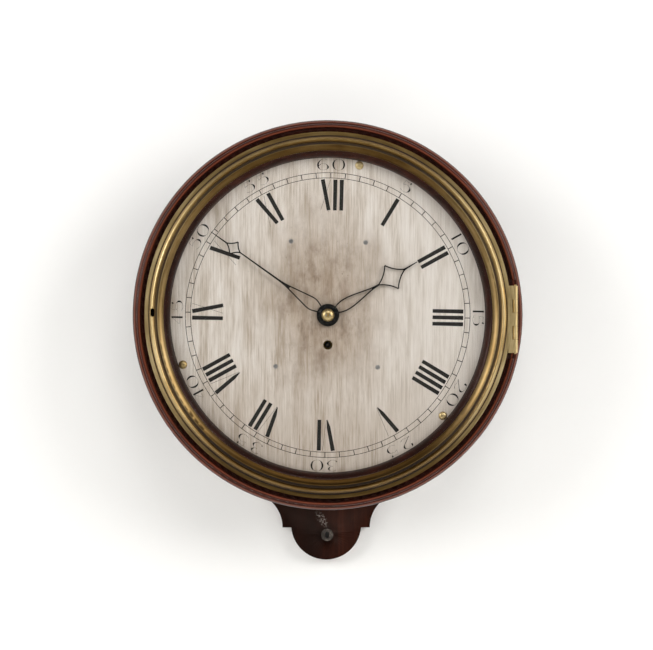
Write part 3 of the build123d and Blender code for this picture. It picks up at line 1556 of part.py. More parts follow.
with BuildPart() as escape_wheel:
    with BuildSketch(turning_plane(0, escape_z)):
        with BuildLine():
            Polyline(
                (0, back_plate_back),
                (pivot_radius, back_plate_back),
                (pivot_radius, back_plate_front + shoulder_gap),
                (arbor_radius, back_plate_front + shoulder_gap),
                (arbor_radius, escape_pinion_depth),
                (0, escape_pinion_depth),
                close=True,
            )
        make_face()
    revolve(axis=turning_axis(0, escape_z))
    with BuildSketch(front_plane(escape_pinion_depth, 0, escape_z)):
        with BuildLine():
            Polyline(
                *tooth_outline(
                    escape_pinion_leaves, third_module, leaf_tooth, escape_mesh + 180 + 180 / escape_pinion_leaves
                ),
                close=True,
            )
        make_face()
    extrude(amount=escape_pinion_length)
    with BuildSketch(front_plane(escape_pinion_depth, 0, escape_z)):
        Circle(pivot_radius)
    extrude(amount=front_plate_front - escape_pinion_depth)
    with BuildSketch(front_plane(escape_wheel_depth, 0, escape_z)):
        with BuildLine():
            Polyline(
                *slanted_outline(escape_teeth, escape_tip_radius, escape_root_radius, 0.55, 0),
                close=True,
            )
        make_face()
        cross_out(escape_root_radius - 1.6, 3.6, 2, 1.6)
    extrude(amount=wheel_thickness - 0.4)
escape_wheel.part.label = "escape_wheel"
export_step(escape_wheel.part, "parts/escape_wheel.step")


# Pallets on their arbor, and the crutch behind the back plate

pallet_clearance = 1.2
nib_bearing = 42.0
nib_radius = escape_tip_radius + pallet_clearance
nib_x = nib_radius * sin(radians(nib_bearing))
nib_z = escape_z - pallet_z + nib_radius * cos(radians(nib_bearing))
cock_front = cock_depth + cock_thickness

with BuildPart() as pallets:
    with BuildSketch(turning_plane(0, pallet_z)):
        with BuildLine():
            Polyline(
                (0, cock_depth),
                (pivot_radius, cock_depth),
                (pivot_radius, cock_front + shoulder_gap),
                (arbor_radius, cock_front + shoulder_gap),
                (arbor_radius, front_plate_back - shoulder_gap),
                (pivot_radius, front_plate_back - shoulder_gap),
                (pivot_radius, front_plate_front),
                (0, front_plate_front),
                close=True,
            )
        make_face()
    revolve(axis=turning_axis(0, pallet_z))
    with BuildSketch(front_plane(escape_wheel_depth - 0.4, 0, pallet_z)):
        with BuildLine():
            Polyline((0, 3.4), (nib_x + 1.6, nib_z + 4.2), (nib_x, nib_z), (nib_x - 1.5, nib_z + 2.2), (0, -1.6))
            mirror(about=Plane.YZ)
        make_face()
        Circle(3.6)
    extrude(amount=wheel_thickness + 0.4)
pallets.part.label = "pallets"
export_step(pallets.part, "parts/pallets.step")

fork_low = pallet_z - crutch_length
fork_half_width = rod_radius + rod_clearance + fork_wall
fork_back = pendulum_depth - 3.5
fork_front = pendulum_depth + rod_radius + rod_clearance + fork_wall

with BuildPart() as crutch:
    with BuildSketch(front_plane(crutch_depth, 0, pallet_z)):
        Circle(3.6)
        with Locations((0, -crutch_length / 2)):
            Rectangle(2 * crutch_rod_radius, crutch_length - 1.0)
        Circle(arbor_radius, mode=Mode.SUBTRACT)
    extrude(amount=crutch_thickness)
    with BuildSketch(front_plane(fork_back, 0, fork_low)):
        Rectangle(2 * fork_half_width, fork_height)
    extrude(amount=fork_front - fork_back)
    with BuildSketch(front_plane(fork_front, 0, fork_low)):
        Rectangle(2 * crutch_rod_radius, fork_height)
    extrude(amount=crutch_depth + crutch_thickness - fork_front)
    with BuildSketch(front_plane(fork_back, 0, fork_low)):
        Rectangle(2 * (rod_radius + rod_clearance), fork_height)
    extrude(amount=pendulum_depth + rod_radius + rod_clearance - fork_back, mode=Mode.SUBTRACT)
crutch.part.label = "crutch"
export_step(crutch.part, "parts/crutch.step")

cock_low = pallet_z - cock_height / 2
nose_low = pallet_z + 1.0

with BuildPart() as back_cock:
    with BuildSketch(front_plane(cock_depth, 0, pallet_z)):
        Rectangle(2 * cock_half_width, cock_height)
        Circle(pivot_radius + running_fit, mode=Mode.SUBTRACT)
    extrude(amount=cock_thickness)
    with BuildSketch(front_plane(cock_front, 0, pallet_z)):
        for side in (-1, 1):
            with Locations((side * cock_screw_x, 0)):
                Rectangle(cock_foot, cock_height)
    extrude(amount=back_plate_back - cock_front)
    with BuildSketch(front_plane(cock_depth, 0, pallet_z)):
        with Locations((-cock_screw_x, 0), (cock_screw_x, 0)):
            Circle(plate_screw_radius + screw_fit)
    extrude(amount=back_plate_back - cock_depth, mode=Mode.SUBTRACT)
    with BuildSketch(front_plane(cock_nose_back, 0, pallet_z)):
        with Locations((0, (1.0 + cock_nose_top) / 2)):
            Rectangle(2 * cock_nose_half_width, cock_nose_top - 1.0)
            Rectangle(2 * cock_slot_half_width, cock_nose_top - 1.0, mode=Mode.SUBTRACT)
    extrude(amount=cock_depth - cock_nose_back)
    with BuildSketch(side_plane(0)):
        with Locations((pendulum_depth, pallet_z + spring_pin_height)):
            Circle(spring_pin_radius + screw_fit)
    extrude(amount=cock_nose_half_width, both=True, mode=Mode.SUBTRACT)
back_cock.part.label = "back_cock"
export_step(back_cock.part, "parts/back_cock.step")


# Pendulum

spring_low = pallet_z + suspension_top - suspension_length
block_low = spring_low - top_block_height + 3.0
bob_z = pallet_z - bob_drop
bob_low = bob_z - bob_radius
rod_low = bob_low - rod_end_margin
nut_top = bob_low - nut_gap

with BuildPart() as suspension_spring:
    with BuildSketch(side_plane(0)):
        with Locations((pendulum_depth, pallet_z + suspension_top - suspension_length / 2)):
            Rectangle(suspension_width, suspension_length)
        with Locations((pendulum_depth, pallet_z + spring_pin_height)):
            Circle(spring_pin_radius + 2 * rod_clearance, mode=Mode.SUBTRACT)
    extrude(amount=suspension_thickness / 2, both=True)
suspension_spring.part.label = "suspension_spring"
export_step(suspension_spring.part, "parts/suspension_spring.step")

with BuildPart() as pendulum_rod:
    with BuildSketch(Plane.XY.offset(block_low)):
        with Locations((0, -pendulum_depth)):
            Rectangle(2 * top_block_half, 2 * top_block_half + 1.0)
    extrude(amount=top_block_height)
    with BuildSketch(Plane.XY.offset(spring_low)):
        with Locations((0, -pendulum_depth)):
            Rectangle(suspension_thickness, 2 * top_block_half + 1.0)
    extrude(amount=top_block_height, mode=Mode.SUBTRACT)
    with BuildSketch(Plane.XY.offset(rod_low)):
        with Locations((0, -pendulum_depth)):
            Circle(rod_radius)
    extrude(amount=block_low - rod_low)
pendulum_rod.part.label = "pendulum_rod"
export_step(pendulum_rod.part, "parts/pendulum_rod.step")

with BuildPart() as bob:
    with BuildSketch(turning_plane(0, bob_z)):
        with BuildLine():
            ThreePointArc(
                (0, pendulum_depth - bob_half_thickness),
                (bob_radius * 0.6, pendulum_depth - bob_half_thickness * 0.82),
                (bob_radius, pendulum_depth - bob_edge),
            )
            Line((bob_radius, pendulum_depth - bob_edge), (bob_radius, pendulum_depth + bob_edge))
            ThreePointArc(
                (bob_radius, pendulum_depth + bob_edge),
                (bob_radius * 0.6, pendulum_depth + bob_half_thickness * 0.82),
                (0, pendulum_depth + bob_half_thickness),
            )
            Line((0, pendulum_depth + bob_half_thickness), (0, pendulum_depth - bob_half_thickness))
        make_face()
    revolve(axis=turning_axis(0, bob_z))
    with BuildSketch(Plane.XY.offset(bob_low - 1.0)):
        with Locations((0, -pendulum_depth)):
            Circle(rod_radius + 2 * running_fit)
    extrude(amount=2 * bob_radius + 2.0, mode=Mode.SUBTRACT)
bob.part.label = "bob"
export_step(bob.part, "parts/bob.step")

with BuildPart() as rating_nut:
    with BuildSketch(Plane.XY.offset(nut_top - nut_thickness)):
        with Locations((0, -pendulum_depth)):
            RegularPolygon(nut_radius, 8)
            Circle(rod_radius + 2 * running_fit, mode=Mode.SUBTRACT)
    extrude(amount=nut_thickness)
rating_nut.part.label = "rating_nut"
export_step(rating_nut.part, "parts/rating_nut.step")


# Motion work behind the dial

with BuildPart() as cannon_wheel:
    with BuildSketch(front_plane(cannon_depth)):
        with BuildLine():
            Polyline(*tooth_outline(cannon_teeth, cannon_module, wheel_tooth, 90), close=True)
        make_face()
        Circle(arbor_radius + running_fit, mode=Mode.SUBTRACT)
    extrude(amount=wheel_thickness)
    with BuildSketch(front_plane(cannon_depth)):
        Circle(cannon_pipe_radius)
        Circle(arbor_radius + running_fit, mode=Mode.SUBTRACT)
    extrude(amount=minute_hand_depth + boss_thickness - 0.6 - cannon_depth)
cannon_wheel.part.label = "cannon_wheel"
export_step(cannon_wheel.part, "parts/cannon_wheel.step")

with BuildPart() as minute_wheel:
    with BuildSketch(front_plane(cannon_depth, 0, minute_wheel_z)):
        with BuildLine():
            Polyline(
                *tooth_outline(minute_teeth, cannon_module, wheel_tooth, 270 + 180 / minute_teeth),
                close=True,
            )
        make_face()
    extrude(amount=wheel_thickness)
    with BuildSketch(front_plane(cannon_depth, 0, minute_wheel_z)):
        Circle(minute_hub_radius)
    extrude(amount=-1.2)
    with BuildSketch(front_plane(cannon_depth + wheel_thickness, 0, minute_wheel_z)):
        with BuildLine():
            Polyline(
                *tooth_outline(minute_leaves, hour_module, leaf_tooth, 270 + 180 / minute_leaves),
                close=True,
            )
        make_face()
    extrude(amount=hour_wheel_depth + wheel_thickness + 0.6 - cannon_depth - wheel_thickness)
    with BuildSketch(front_plane(cannon_depth - 1.2, 0, minute_wheel_z)):
        Circle(minute_stud_radius + running_fit)
    extrude(amount=hour_wheel_depth + wheel_thickness + 2.0 - cannon_depth, mode=Mode.SUBTRACT)
minute_wheel.part.label = "minute_wheel"
export_step(minute_wheel.part, "parts/minute_wheel.step")

with BuildPart() as hour_wheel:
    with BuildSketch(front_plane(hour_wheel_depth)):
        with BuildLine():
            Polyline(*tooth_outline(hour_teeth, hour_module, wheel_tooth, 90), close=True)
        make_face()
        cross_out(hour_module * hour_teeth / 2 - 3.0, 7.0, 2, 3.0)
        Circle(bridge_pipe_radius + running_fit, mode=Mode.SUBTRACT)
    extrude(amount=wheel_thickness - 0.2)
    with BuildSketch(front_plane(hour_wheel_depth)):
        Circle(hour_pipe_radius)
        Circle(bridge_pipe_radius + running_fit, mode=Mode.SUBTRACT)
    extrude(amount=hour_hand_depth + boss_thickness - 0.4 - hour_wheel_depth)
hour_wheel.part.label = "hour_wheel"
export_step(hour_wheel.part, "parts/hour_wheel.step")

with BuildPart() as motion_bridge:
    with BuildSketch(front_plane(bridge_depth)):
        Rectangle(2 * bridge_half_length, bridge_width)
        Circle(cannon_pipe_radius + 2 * running_fit, mode=Mode.SUBTRACT)
    extrude(amount=bridge_thickness)
    with BuildSketch(front_plane(front_plate_front)):
        for side in (-1, 1):
            with Locations((side * bridge_screw_x, 0)):
                Rectangle(bridge_foot, bridge_width)
    extrude(amount=bridge_depth - front_plate_front)
    with BuildSketch(front_plane(front_plate_front)):
        with Locations((-bridge_screw_x, 0), (bridge_screw_x, 0)):
            Circle(plate_screw_radius + screw_fit)
    extrude(amount=bridge_depth + bridge_thickness - front_plate_front, mode=Mode.SUBTRACT)
    with BuildSketch(front_plane(bridge_depth)):
        Circle(bridge_pipe_radius)
        Circle(cannon_pipe_radius + 2 * running_fit, mode=Mode.SUBTRACT)
    extrude(amount=ledge_depth - bridge_depth)
motion_bridge.part.label = "motion_bridge"
export_step(motion_bridge.part, "parts/motion_bridge.step")


# Hands: a boss, two strands that join, an open star and a point


def hand_plane(depth, bearing):
    """A plane on a hand: own x runs out along the hand."""
    turn = radians(bearing)
    return Plane(origin=(0, -depth, 0), x_dir=(sin(turn), 0, cos(turn)), z_dir=(0, -1, 0))


def hollow_middle(start, end, centre_x):
    """Middle of a star side, drawn in towards the star's centre."""
    middle_x = (start[0] + end[0]) / 2
    middle_y = (start[1] + end[1]) / 2
    return (middle_x + star_hollow * (centre_x - middle_x), middle_y * (1 - star_hollow))


def star_sides(start, middle, end, half_width):
    """The four hollow sides of a hand's star, each as three points."""
    corners = [(start, 0), (middle, half_width), (end, 0), (middle, -half_width)]
    sides = []
    for index, corner in enumerate(corners):
        following = corners[(index + 1) % 4]
        sides.append((corner, hollow_middle(corner, following, middle), following))
    return sides


with BuildPart() as hour_hand:
    with BuildSketch(hand_plane(hour_hand_depth, hour_hand_bearing)):
        for flip in (-1, 1):
            with BuildLine():
                Spline(*[(along, flip * across) for along, across in hour_loop])
            trace(line_width=hand_line)
        for first, inner, last in star_sides(
            hour_star_start, hour_star_middle, hour_star_end, hour_star_half_width
        ):
            with BuildLine():
                ThreePointArc(first, inner, last)
            trace(line_width=hand_line)
        with BuildLine():
            Polyline(
                (hour_loop[-2][0], 0.8),
                (hour_star_start + 0.6, 0.9),
                (hour_star_start + 0.6, -0.9),
                (hour_loop[-2][0], -0.8),
                close=True,
            )
        make_face()
        with BuildLine():
            Polyline(
                (hour_star_end - 2.2, 1.0),
                (hour_hand_length, 0.35),
                (hour_hand_length, -0.35),
                (hour_star_end - 2.2, -1.0),
                close=True,
            )
        make_face()
        Circle(hour_boss_radius)
        Circle(hour_pipe_radius, mode=Mode.SUBTRACT)
    extrude(amount=hand_thickness)
    with BuildSketch(front_plane(hour_hand_depth)):
        Circle(hour_boss_radius)
        Circle(hour_pipe_radius, mode=Mode.SUBTRACT)
    extrude(amount=boss_thickness)
hour_hand.part.label = "hour_hand"
export_step(hour_hand.part, "parts/hour_hand.step")

with BuildPart() as minute_hand:
    with BuildSketch(hand_plane(minute_hand_depth, minute_hand_bearing)):
        for flip in (-1, 1):
            with BuildLine():
                Spline(*[(along, flip * across) for along, across in minute_loop])
            trace(line_width=hand_line)
        for first, inner, last in star_sides(
            minute_star_start, minute_star_middle, minute_star_end, minute_star_half_width
        ):
            with BuildLine():
                ThreePointArc(first, inner, last)
            trace(line_width=hand_line)
        with BuildLine():
            Polyline(
                (minute_loop[-2][0], 0.9),
                (minute_loop[-1][0] + 4.0, 0.9),
                (minute_star_start + 0.5, 0.6),
                (minute_star_start + 0.5, -0.6),
                (minute_loop[-1][0] + 4.0, -0.9),
                (minute_loop[-2][0], -0.9),
                close=True,
            )
        make_face()
        with BuildLine():
            Polyline(
                (minute_star_end - 1.6, 0.8),
                (minute_hand_length, 0.3),
                (minute_hand_length, -0.3),
                (minute_star_end - 1.6, -0.8),
                close=True,
            )
        make_face()
        Circle(minute_boss_radius)
        Circle(cannon_pipe_radius, mode=Mode.SUBTRACT)
    extrude(amount=hand_thickness)
    with BuildSketch(front_plane(minute_hand_depth)):
        Circle(minute_boss_radius)
        Circle(cannon_pipe_radius, mode=Mode.SUBTRACT)
    extrude(amount=boss_thickness)
minute_hand.part.label = "minute_hand"
export_step(minute_hand.part, "parts/minute_hand.step")

collet_back = minute_hand_depth + boss_thickness

with BuildPart() as hand_collet:
    with BuildSketch(turning_plane()):
        with BuildLine():
            Line((centre_end_radius + running_fit, collet_back), (collet_radius, collet_back))
            ThreePointArc(
                (collet_radius, collet_back),
                (collet_radius * 0.78, collet_back + collet_height * 0.66),
                (centre_end_radius + running_fit, collet_back + collet_height),
            )
            Line(
                (centre_end_radius + running_fit, collet_back + collet_height),
                (centre_end_radius + running_fit, collet_back),
            )
        make_face()
    revolve(axis=Axis.Y)
hand_collet.part.label = "hand_collet"
export_step(hand_collet.part, "parts/hand_collet.step")

with BuildPart() as hand_pin:
    with BuildSketch(side_plane(0)):
        with Locations((centre_end_depth - 1.2, 0)):
            Circle(pin_radius - 0.1)
    extrude(amount=hand_pin_length / 2, both=True)
hand_pin.part.label = "hand_pin"
export_step(hand_pin.part, "parts/hand_pin.step")
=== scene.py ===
import json
import math

import bmesh
import bpy
import numpy as np
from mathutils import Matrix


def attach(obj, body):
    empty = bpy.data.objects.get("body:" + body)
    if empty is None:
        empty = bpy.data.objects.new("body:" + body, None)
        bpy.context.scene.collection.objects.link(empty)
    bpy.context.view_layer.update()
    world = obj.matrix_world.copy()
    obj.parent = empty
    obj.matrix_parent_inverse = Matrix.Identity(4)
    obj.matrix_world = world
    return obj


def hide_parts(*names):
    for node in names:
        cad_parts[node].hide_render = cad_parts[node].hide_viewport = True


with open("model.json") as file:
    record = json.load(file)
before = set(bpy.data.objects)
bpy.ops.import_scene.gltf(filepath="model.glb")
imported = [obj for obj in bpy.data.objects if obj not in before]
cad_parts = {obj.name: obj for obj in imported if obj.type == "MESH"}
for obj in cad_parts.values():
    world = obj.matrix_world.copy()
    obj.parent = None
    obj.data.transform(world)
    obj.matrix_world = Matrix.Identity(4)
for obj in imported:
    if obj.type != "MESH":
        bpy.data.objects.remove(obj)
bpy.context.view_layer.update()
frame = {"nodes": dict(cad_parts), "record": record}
print("stage 1: frame loaded with", len(frame["nodes"]), "nodes")

mm = 0.001
dialFront = 105.6  # millimetres in front of the wall


def tone(red, green, blue):  # screen colour 0-255 to the linear colour that shaders take
    steps = np.array([red, green, blue]) / 255.0
    linear = np.where(steps > 0.04045, ((steps + 0.055) / 1.055) ** 2.4, steps / 12.92)
    return (float(linear[0]), float(linear[1]), float(linear[2]), 1.0)


# Camera

camera = {
    "place": (-0.055, -3.12, 0.0),
    "distance": 3.0,  # to the front of the clock
    "aimLeft": 0.00156,  # metres beside the clock's axis
    "metresPerPixel": 0.000974,
    "pictureWidth": 653,
    "sensor": 36.0,
    "pixelsUp": 9.9,  # the clock's centre stands this far above the picture's
}

lens = bpy.data.cameras.new("photoCamera")
lens.sensor_width = camera["sensor"]
lens.lens = camera["sensor"] * camera["distance"] / (camera["metresPerPixel"] * camera["pictureWidth"])
lens.shift_y = -camera["pixelsUp"] / camera["pictureWidth"]
lens.clip_start = 0.05
lens.clip_end = 50.0
cameraObject = bpy.data.objects.new("photoCamera", lens)
cameraObject.location = camera["place"]
sideways = camera["place"][0] + camera["aimLeft"]
cameraObject.rotation_euler = (math.pi / 2, 0.0, math.atan2(sideways, camera["distance"]))
bpy.context.scene.collection.objects.link(cameraObject)
bpy.context.scene.camera = cameraObject
bpy.context.scene.view_settings.view_transform = "Standard"


# Finishes

where = {  # millimetres: radii, depths or heights between which a finish changes, and x, z of small places
    "innerCrest": (183.6, 184.8),
    "outerCrest": (188.4, 189.6),
    "crestDepths": (100.0, 104.0),
    "quirkShadeRadii": (179.0, 182.4),
    "quirkShadeDepths": (112.0, 112.6),
    "glassEdge": (163.0, 165.5),
    "bezelEdge": (156.4, 157.4),
    "bevelEdge": (165.2, 166.2),
    "beadShadeBand": (168.3, 170.6),
    "outerHollow": (173.7, 175.3),
    "innerHollow": (166.0, 168.3),
    "bezelShadowRadii": (149.0, 155.0),
    "keyhole": (-170.7, 2.5),
    "winderUp": -29.2,
    "winderDepths": (90.0, 92.0),
    "footSlot": (1.0, -221.9),
    "footHeights": (-190.0, -184.0),
    "footDepths": (11.0, 11.8),
}


def away(across, up):  # distance from a point: the root of the two squares added
    return (across * across + up * up) ** 0.5


class Wire:  # a socket that takes part in sums
    def __init__(self, paint, socket):
        self.paint = paint
        self.socket = socket

    def maths(self, operation, first, second=None):
        values = {0: first} if second is None else {0: first, 1: second}
        return self.paint.node("ShaderNodeMath", {"operation": operation}, values)

    def __add__(self, other):
        return self.maths("ADD", self, other)

    def __radd__(self, other):
        return self.maths("ADD", other, self)

    def __sub__(self, other):
        return self.maths("SUBTRACT", self, other)

    def __rsub__(self, other):
        return self.maths("SUBTRACT", other, self)

    def __mul__(self, other):
        return self.maths("MULTIPLY", self, other)

    def __rmul__(self, other):
        return self.maths("MULTIPLY", other, self)

    def __truediv__(self, other):
        return self.maths("DIVIDE", self, other)

    def __pow__(self, other):
        return self.maths("POWER", self, other)


class Paint:  # one procedural finish
    def __init__(self, name, fixed):
        self.material = bpy.data.materials.new(name)
        self.material.use_nodes = True
        self.tree = self.material.node_tree
        self.shader = self.tree.nodes["Principled BSDF"]
        for socket, value in fixed.items():
            self.shader.inputs[socket].default_value = value
        self.place = self.node("ShaderNodeTexCoord", {}, {}, "Object")

    def node(self, kind, settings, values, output=0):
        made = self.tree.nodes.new(kind)
        for key, value in settings.items():
            if key == "stops":
                self.setStops(made.color_ramp, value)
            else:
                setattr(made, key, value)
        for key, value in values.items():
            self.join(made.inputs[key], value)
        return Wire(self, made.outputs[output])

    def setStops(self, ramp, stops):
        while len(ramp.elements) < len(stops):
            ramp.elements.new(1.0)
        for element, (position, colour) in zip(ramp.elements, stops):
            element.position = position
            element.color = colour

    def join(self, socket, value):
        if isinstance(value, Wire):
            self.tree.links.new(value.socket, socket)
        else:
            socket.default_value = value

    def feed(self, socket, value):
        self.join(self.shader.inputs[socket], value)

    def stretched(self, scale, turn=(0.0, 0.0, 0.0)):  # the place, scaled along each direction
        return self.node("ShaderNodeMapping", {}, {"Vector": self.place, "Rotation": turn, "Scale": scale})

    def noise(self, vector, scale, detail=3.0, roughness=0.5, distortion=0.0):
        values = {"Vector": vector, "Scale": scale, "Detail": detail, "Roughness": roughness}
        values["Distortion"] = distortion
        return self.node("ShaderNodeTexNoise", {}, values)

    def band(self, value, low, high):  # 0 below low, 1 above high, smooth between
        settings = {"interpolation_type": "SMOOTHSTEP"}
        return self.node("ShaderNodeMapRange", settings, {"Value": value, "From Min": low, "From Max": high})

    def between(self, value, low, high, soft):  # 1 inside low..high, fading over soft
        return self.band(value, low - soft, low + soft) * (1 - self.band(value, high - soft, high + soft))

    def blend(self, factor, first, second):
        return self.node("ShaderNodeMix", {"data_type": "RGBA"}, {0: factor, 6: first, 7: second}, 2)

    def darken(self, colour, factor, by):  # multiplies the colour by the tone, as far as factor says
        settings = {"data_type": "RGBA", "blend_type": "MULTIPLY"}
        return self.node("ShaderNodeMix", settings, {0: factor, 6: colour, 7: by}, 2)

    def ramp(self, value, stops):
        return self.node("ShaderNodeValToRGB", {"stops": stops}, {0: value})

    def bump(self, height, strength, distance):
        values = {"Height": height, "Strength": strength, "Distance": distance}
        self.feed("Normal", self.node("ShaderNodeBump", {}, values))

    def axes(self):  # the three parts of the place, in millimetres
        split = self.node("ShaderNodeSeparateXYZ", {}, {0: self.place})
        parts = [Wire(self, split.socket.node.outputs[name]) for name in ("X", "Y", "Z")]
        return [part * 1000.0 for part in parts]

    def turned(self):  # radius, depth and a vector whose noise runs round the clock's axis
        x, y, z = self.axes()
        radius = away(x, z)
        vector = self.node("ShaderNodeCombineXYZ", {}, {0: x / radius, 1: z / radius, 2: radius + y * 0.7})
        return radius, y * -1.0, vector


def turnedWood():  # french-polished mahogany, with streaks that run round the rim; painted highlight on the worn crests, painted shade in the quirk and on the lip under the bezel
    look = {"Specular IOR Level": 0.3, "Specular Tint": tone(240, 188, 166), "Coat Roughness": 0.16}
    paint = Paint("surroundMahogany", look)
    radius, depth, around = paint.turned()
    z = paint.axes()[2]
    streaks = paint.noise(paint.node("ShaderNodeMapping", {}, {0: around, 3: (6.0, 6.0, 1.6)}), 1.0, 5.0, 0.6)
    figure = paint.noise(paint.stretched((22.0, 22.0, 5.0)), 1.6, 4.0, 0.55, 0.6)
    worn = paint.noise(paint.place, 55.0, 3.0, 0.6)
    colour = paint.ramp(streaks * 0.65 + figure * 0.35, [
        (0.32, tone(24, 7, 4)), (0.5, tone(50, 16, 9)), (0.62, tone(74, 28, 16)), (0.75, tone(112, 50, 28))])
    inner = paint.between(radius, *where["innerCrest"], 0.5)
    outer = paint.between(radius, *where["outerCrest"], 0.5)
    # painted highlight on the two bead crests, which are also worn: paler and more orange there
    rubbedAndPaintedLight = (inner + outer) * paint.band(depth, *where["crestDepths"]) * (0.2 + streaks * 0.8)
    colour = paint.blend(rubbedAndPaintedLight, colour, tone(126, 64, 42))
    # painted shade in the quirk between the bezel and the wood: darkened there
    quirkShade = paint.between(radius, *where["quirkShadeRadii"], 0.5) * paint.band(depth, *where["quirkShadeDepths"])
    colour = paint.darken(colour, quirkShade * 0.7, tone(110, 70, 60))
    # painted shade on the wood lip inside the bezel, weaker towards the top
    lipShade = 1 - paint.band(radius, *where["glassEdge"])
    colour = paint.darken(colour, lipShade * (0.9 - paint.band(z, 60.0, 150.0) * 0.6), tone(150, 120, 112))
    paint.feed("Base Color", colour)
    paint.feed("Roughness", 0.26 + worn * 0.3)
    paint.feed("Coat Weight", 0.16 - worn * 0.14)
    paint.bump(streaks, 0.12, 0.0003)
    return paint.material


def plankWood(name, shades, gloss, coat):  # grain that runs up and down, with wider figure across it
    look = {"Specular IOR Level": 0.2, "Specular Tint": tone(244, 196, 174), "Coat Roughness": 0.2}
    paint = Paint(name, look)
    x, y, z = paint.axes()
    fibres = paint.noise(paint.stretched((260.0, 260.0, 9.0)), 1.0, 5.0, 0.65, 0.3)
    figure = paint.noise(paint.stretched((34.0, 34.0, 6.0)), 1.0, 3.0, 0.5, 1.2)
    stops = [(0.3, shades[0]), (0.5, shades[1]), (0.7, shades[2])]
    colour = paint.ramp(fibres * 0.45 + figure * 0.55, stops)
    handled = paint.noise(paint.place, 38.0, 4.0, 0.65)
    colour = paint.darken(colour, paint.band(handled, 0.5, 0.72) * 0.5, tone(150, 128, 116))
    if coat:
        fromSlot = away(x - where["footSlot"][0], z - where["footSlot"][1])
        scraped = 1 - paint.band(fromSlot + handled * 16.0, 13.0, 24.0)
        colour = paint.darken(colour, scraped * 0.8, tone(88, 76, 72))
        onFoot = (1 - paint.band(z, *where["footHeights"])) * paint.band(y * -1.0, *where["footDepths"])
        # painted shade on the front of the foot under the surround, darkest on the left and lighter to the
        # right
        colour = paint.darken(colour, onFoot * (0.95 - paint.band(x, -14.0, 16.0) * 0.5), tone(112, 96, 92))
        scarX = (x + 5.0 + (z + 205.0) * 0.5) / 6.5  # the scar leans half as far across as it goes up
        scarZ = (z + 206.0) / 11.0
        scar = 1 - paint.band(away(scarX, scarZ) + handled * 0.6, 0.75, 1.25)
        scratched = onFoot * scar * paint.band(paint.noise(paint.place, 620.0, 3.0, 0.7), 0.47, 0.6)
        colour = paint.blend(scratched * 0.8, colour, tone(122, 116, 110))
    paint.feed("Base Color", colour)
    paint.feed("Roughness", gloss + handled * 0.25)
    if coat:
        paint.feed("Coat Weight", 0.06 - handled * 0.05)
    paint.bump(fibres, 0.25, 0.0004)
    return paint.material


def oiled(paint, colour):  # dark old oil round the lock: the colour is darkened near the keyhole
    x, _, z = paint.axes()
    fromKeyhole = away(x - where["keyhole"][0], z - where["keyhole"][1])
    return paint.darken(colour, 1 - paint.band(fromKeyhole, 7.0, 10.0), tone(50, 44, 38))


def ironFinish(name, shades, gloss):  # black iron or steel with brown freckles
    paint = Paint(name, {})
    specks = paint.noise(paint.place, 900.0, 4.0, 0.6)
    clouds = paint.noise(paint.place, 160.0, 3.0, 0.5)
    stops = [(0.35, shades[0]), (0.52, shades[1]), (0.68, shades[2])]
    colour = paint.ramp(specks * 0.5 + clouds * 0.5, stops)
    paint.feed("Base Color", oiled(paint, colour))
    paint.feed("Metallic", 0.9 - paint.band(specks, 0.5, 0.62) * 0.5)
    paint.feed("Roughness", gloss + clouds * 0.25)
    paint.bump(specks, 0.15, 0.0002)
    return paint.material


def plainBrass(name, shades, gloss):  # brushed brass with a thin brown film, grey at the winding square
    paint = Paint(name, {})
    film = paint.noise(paint.place, 75.0, 4.0, 0.6)
    scratches = paint.noise(paint.stretched((60.0, 60.0, 1400.0)), 1.0, 2.0, 0.5)
    colour = paint.ramp(film, [(0.3, shades[0]), (0.5, shades[1]), (0.68, shades[2])])
    x, y, z = paint.axes()
    fromWinder = away(x, z - where["winderUp"])
    winder = (1 - paint.band(fromWinder, 4.0, 5.0)) * paint.band(y * -1.0, *where["winderDepths"])
    colour = paint.blend(winder, colour, tone(92, 88, 84))
    paint.feed("Base Color", oiled(paint, colour))
    paint.feed("Metallic", 0.65 + paint.band(film, 0.3, 0.42) * 0.35)
    paint.feed("Roughness", gloss + film * 0.2 + scratches * 0.08)
    paint.bump(scratches, 0.06, 0.0001)
    return paint.material


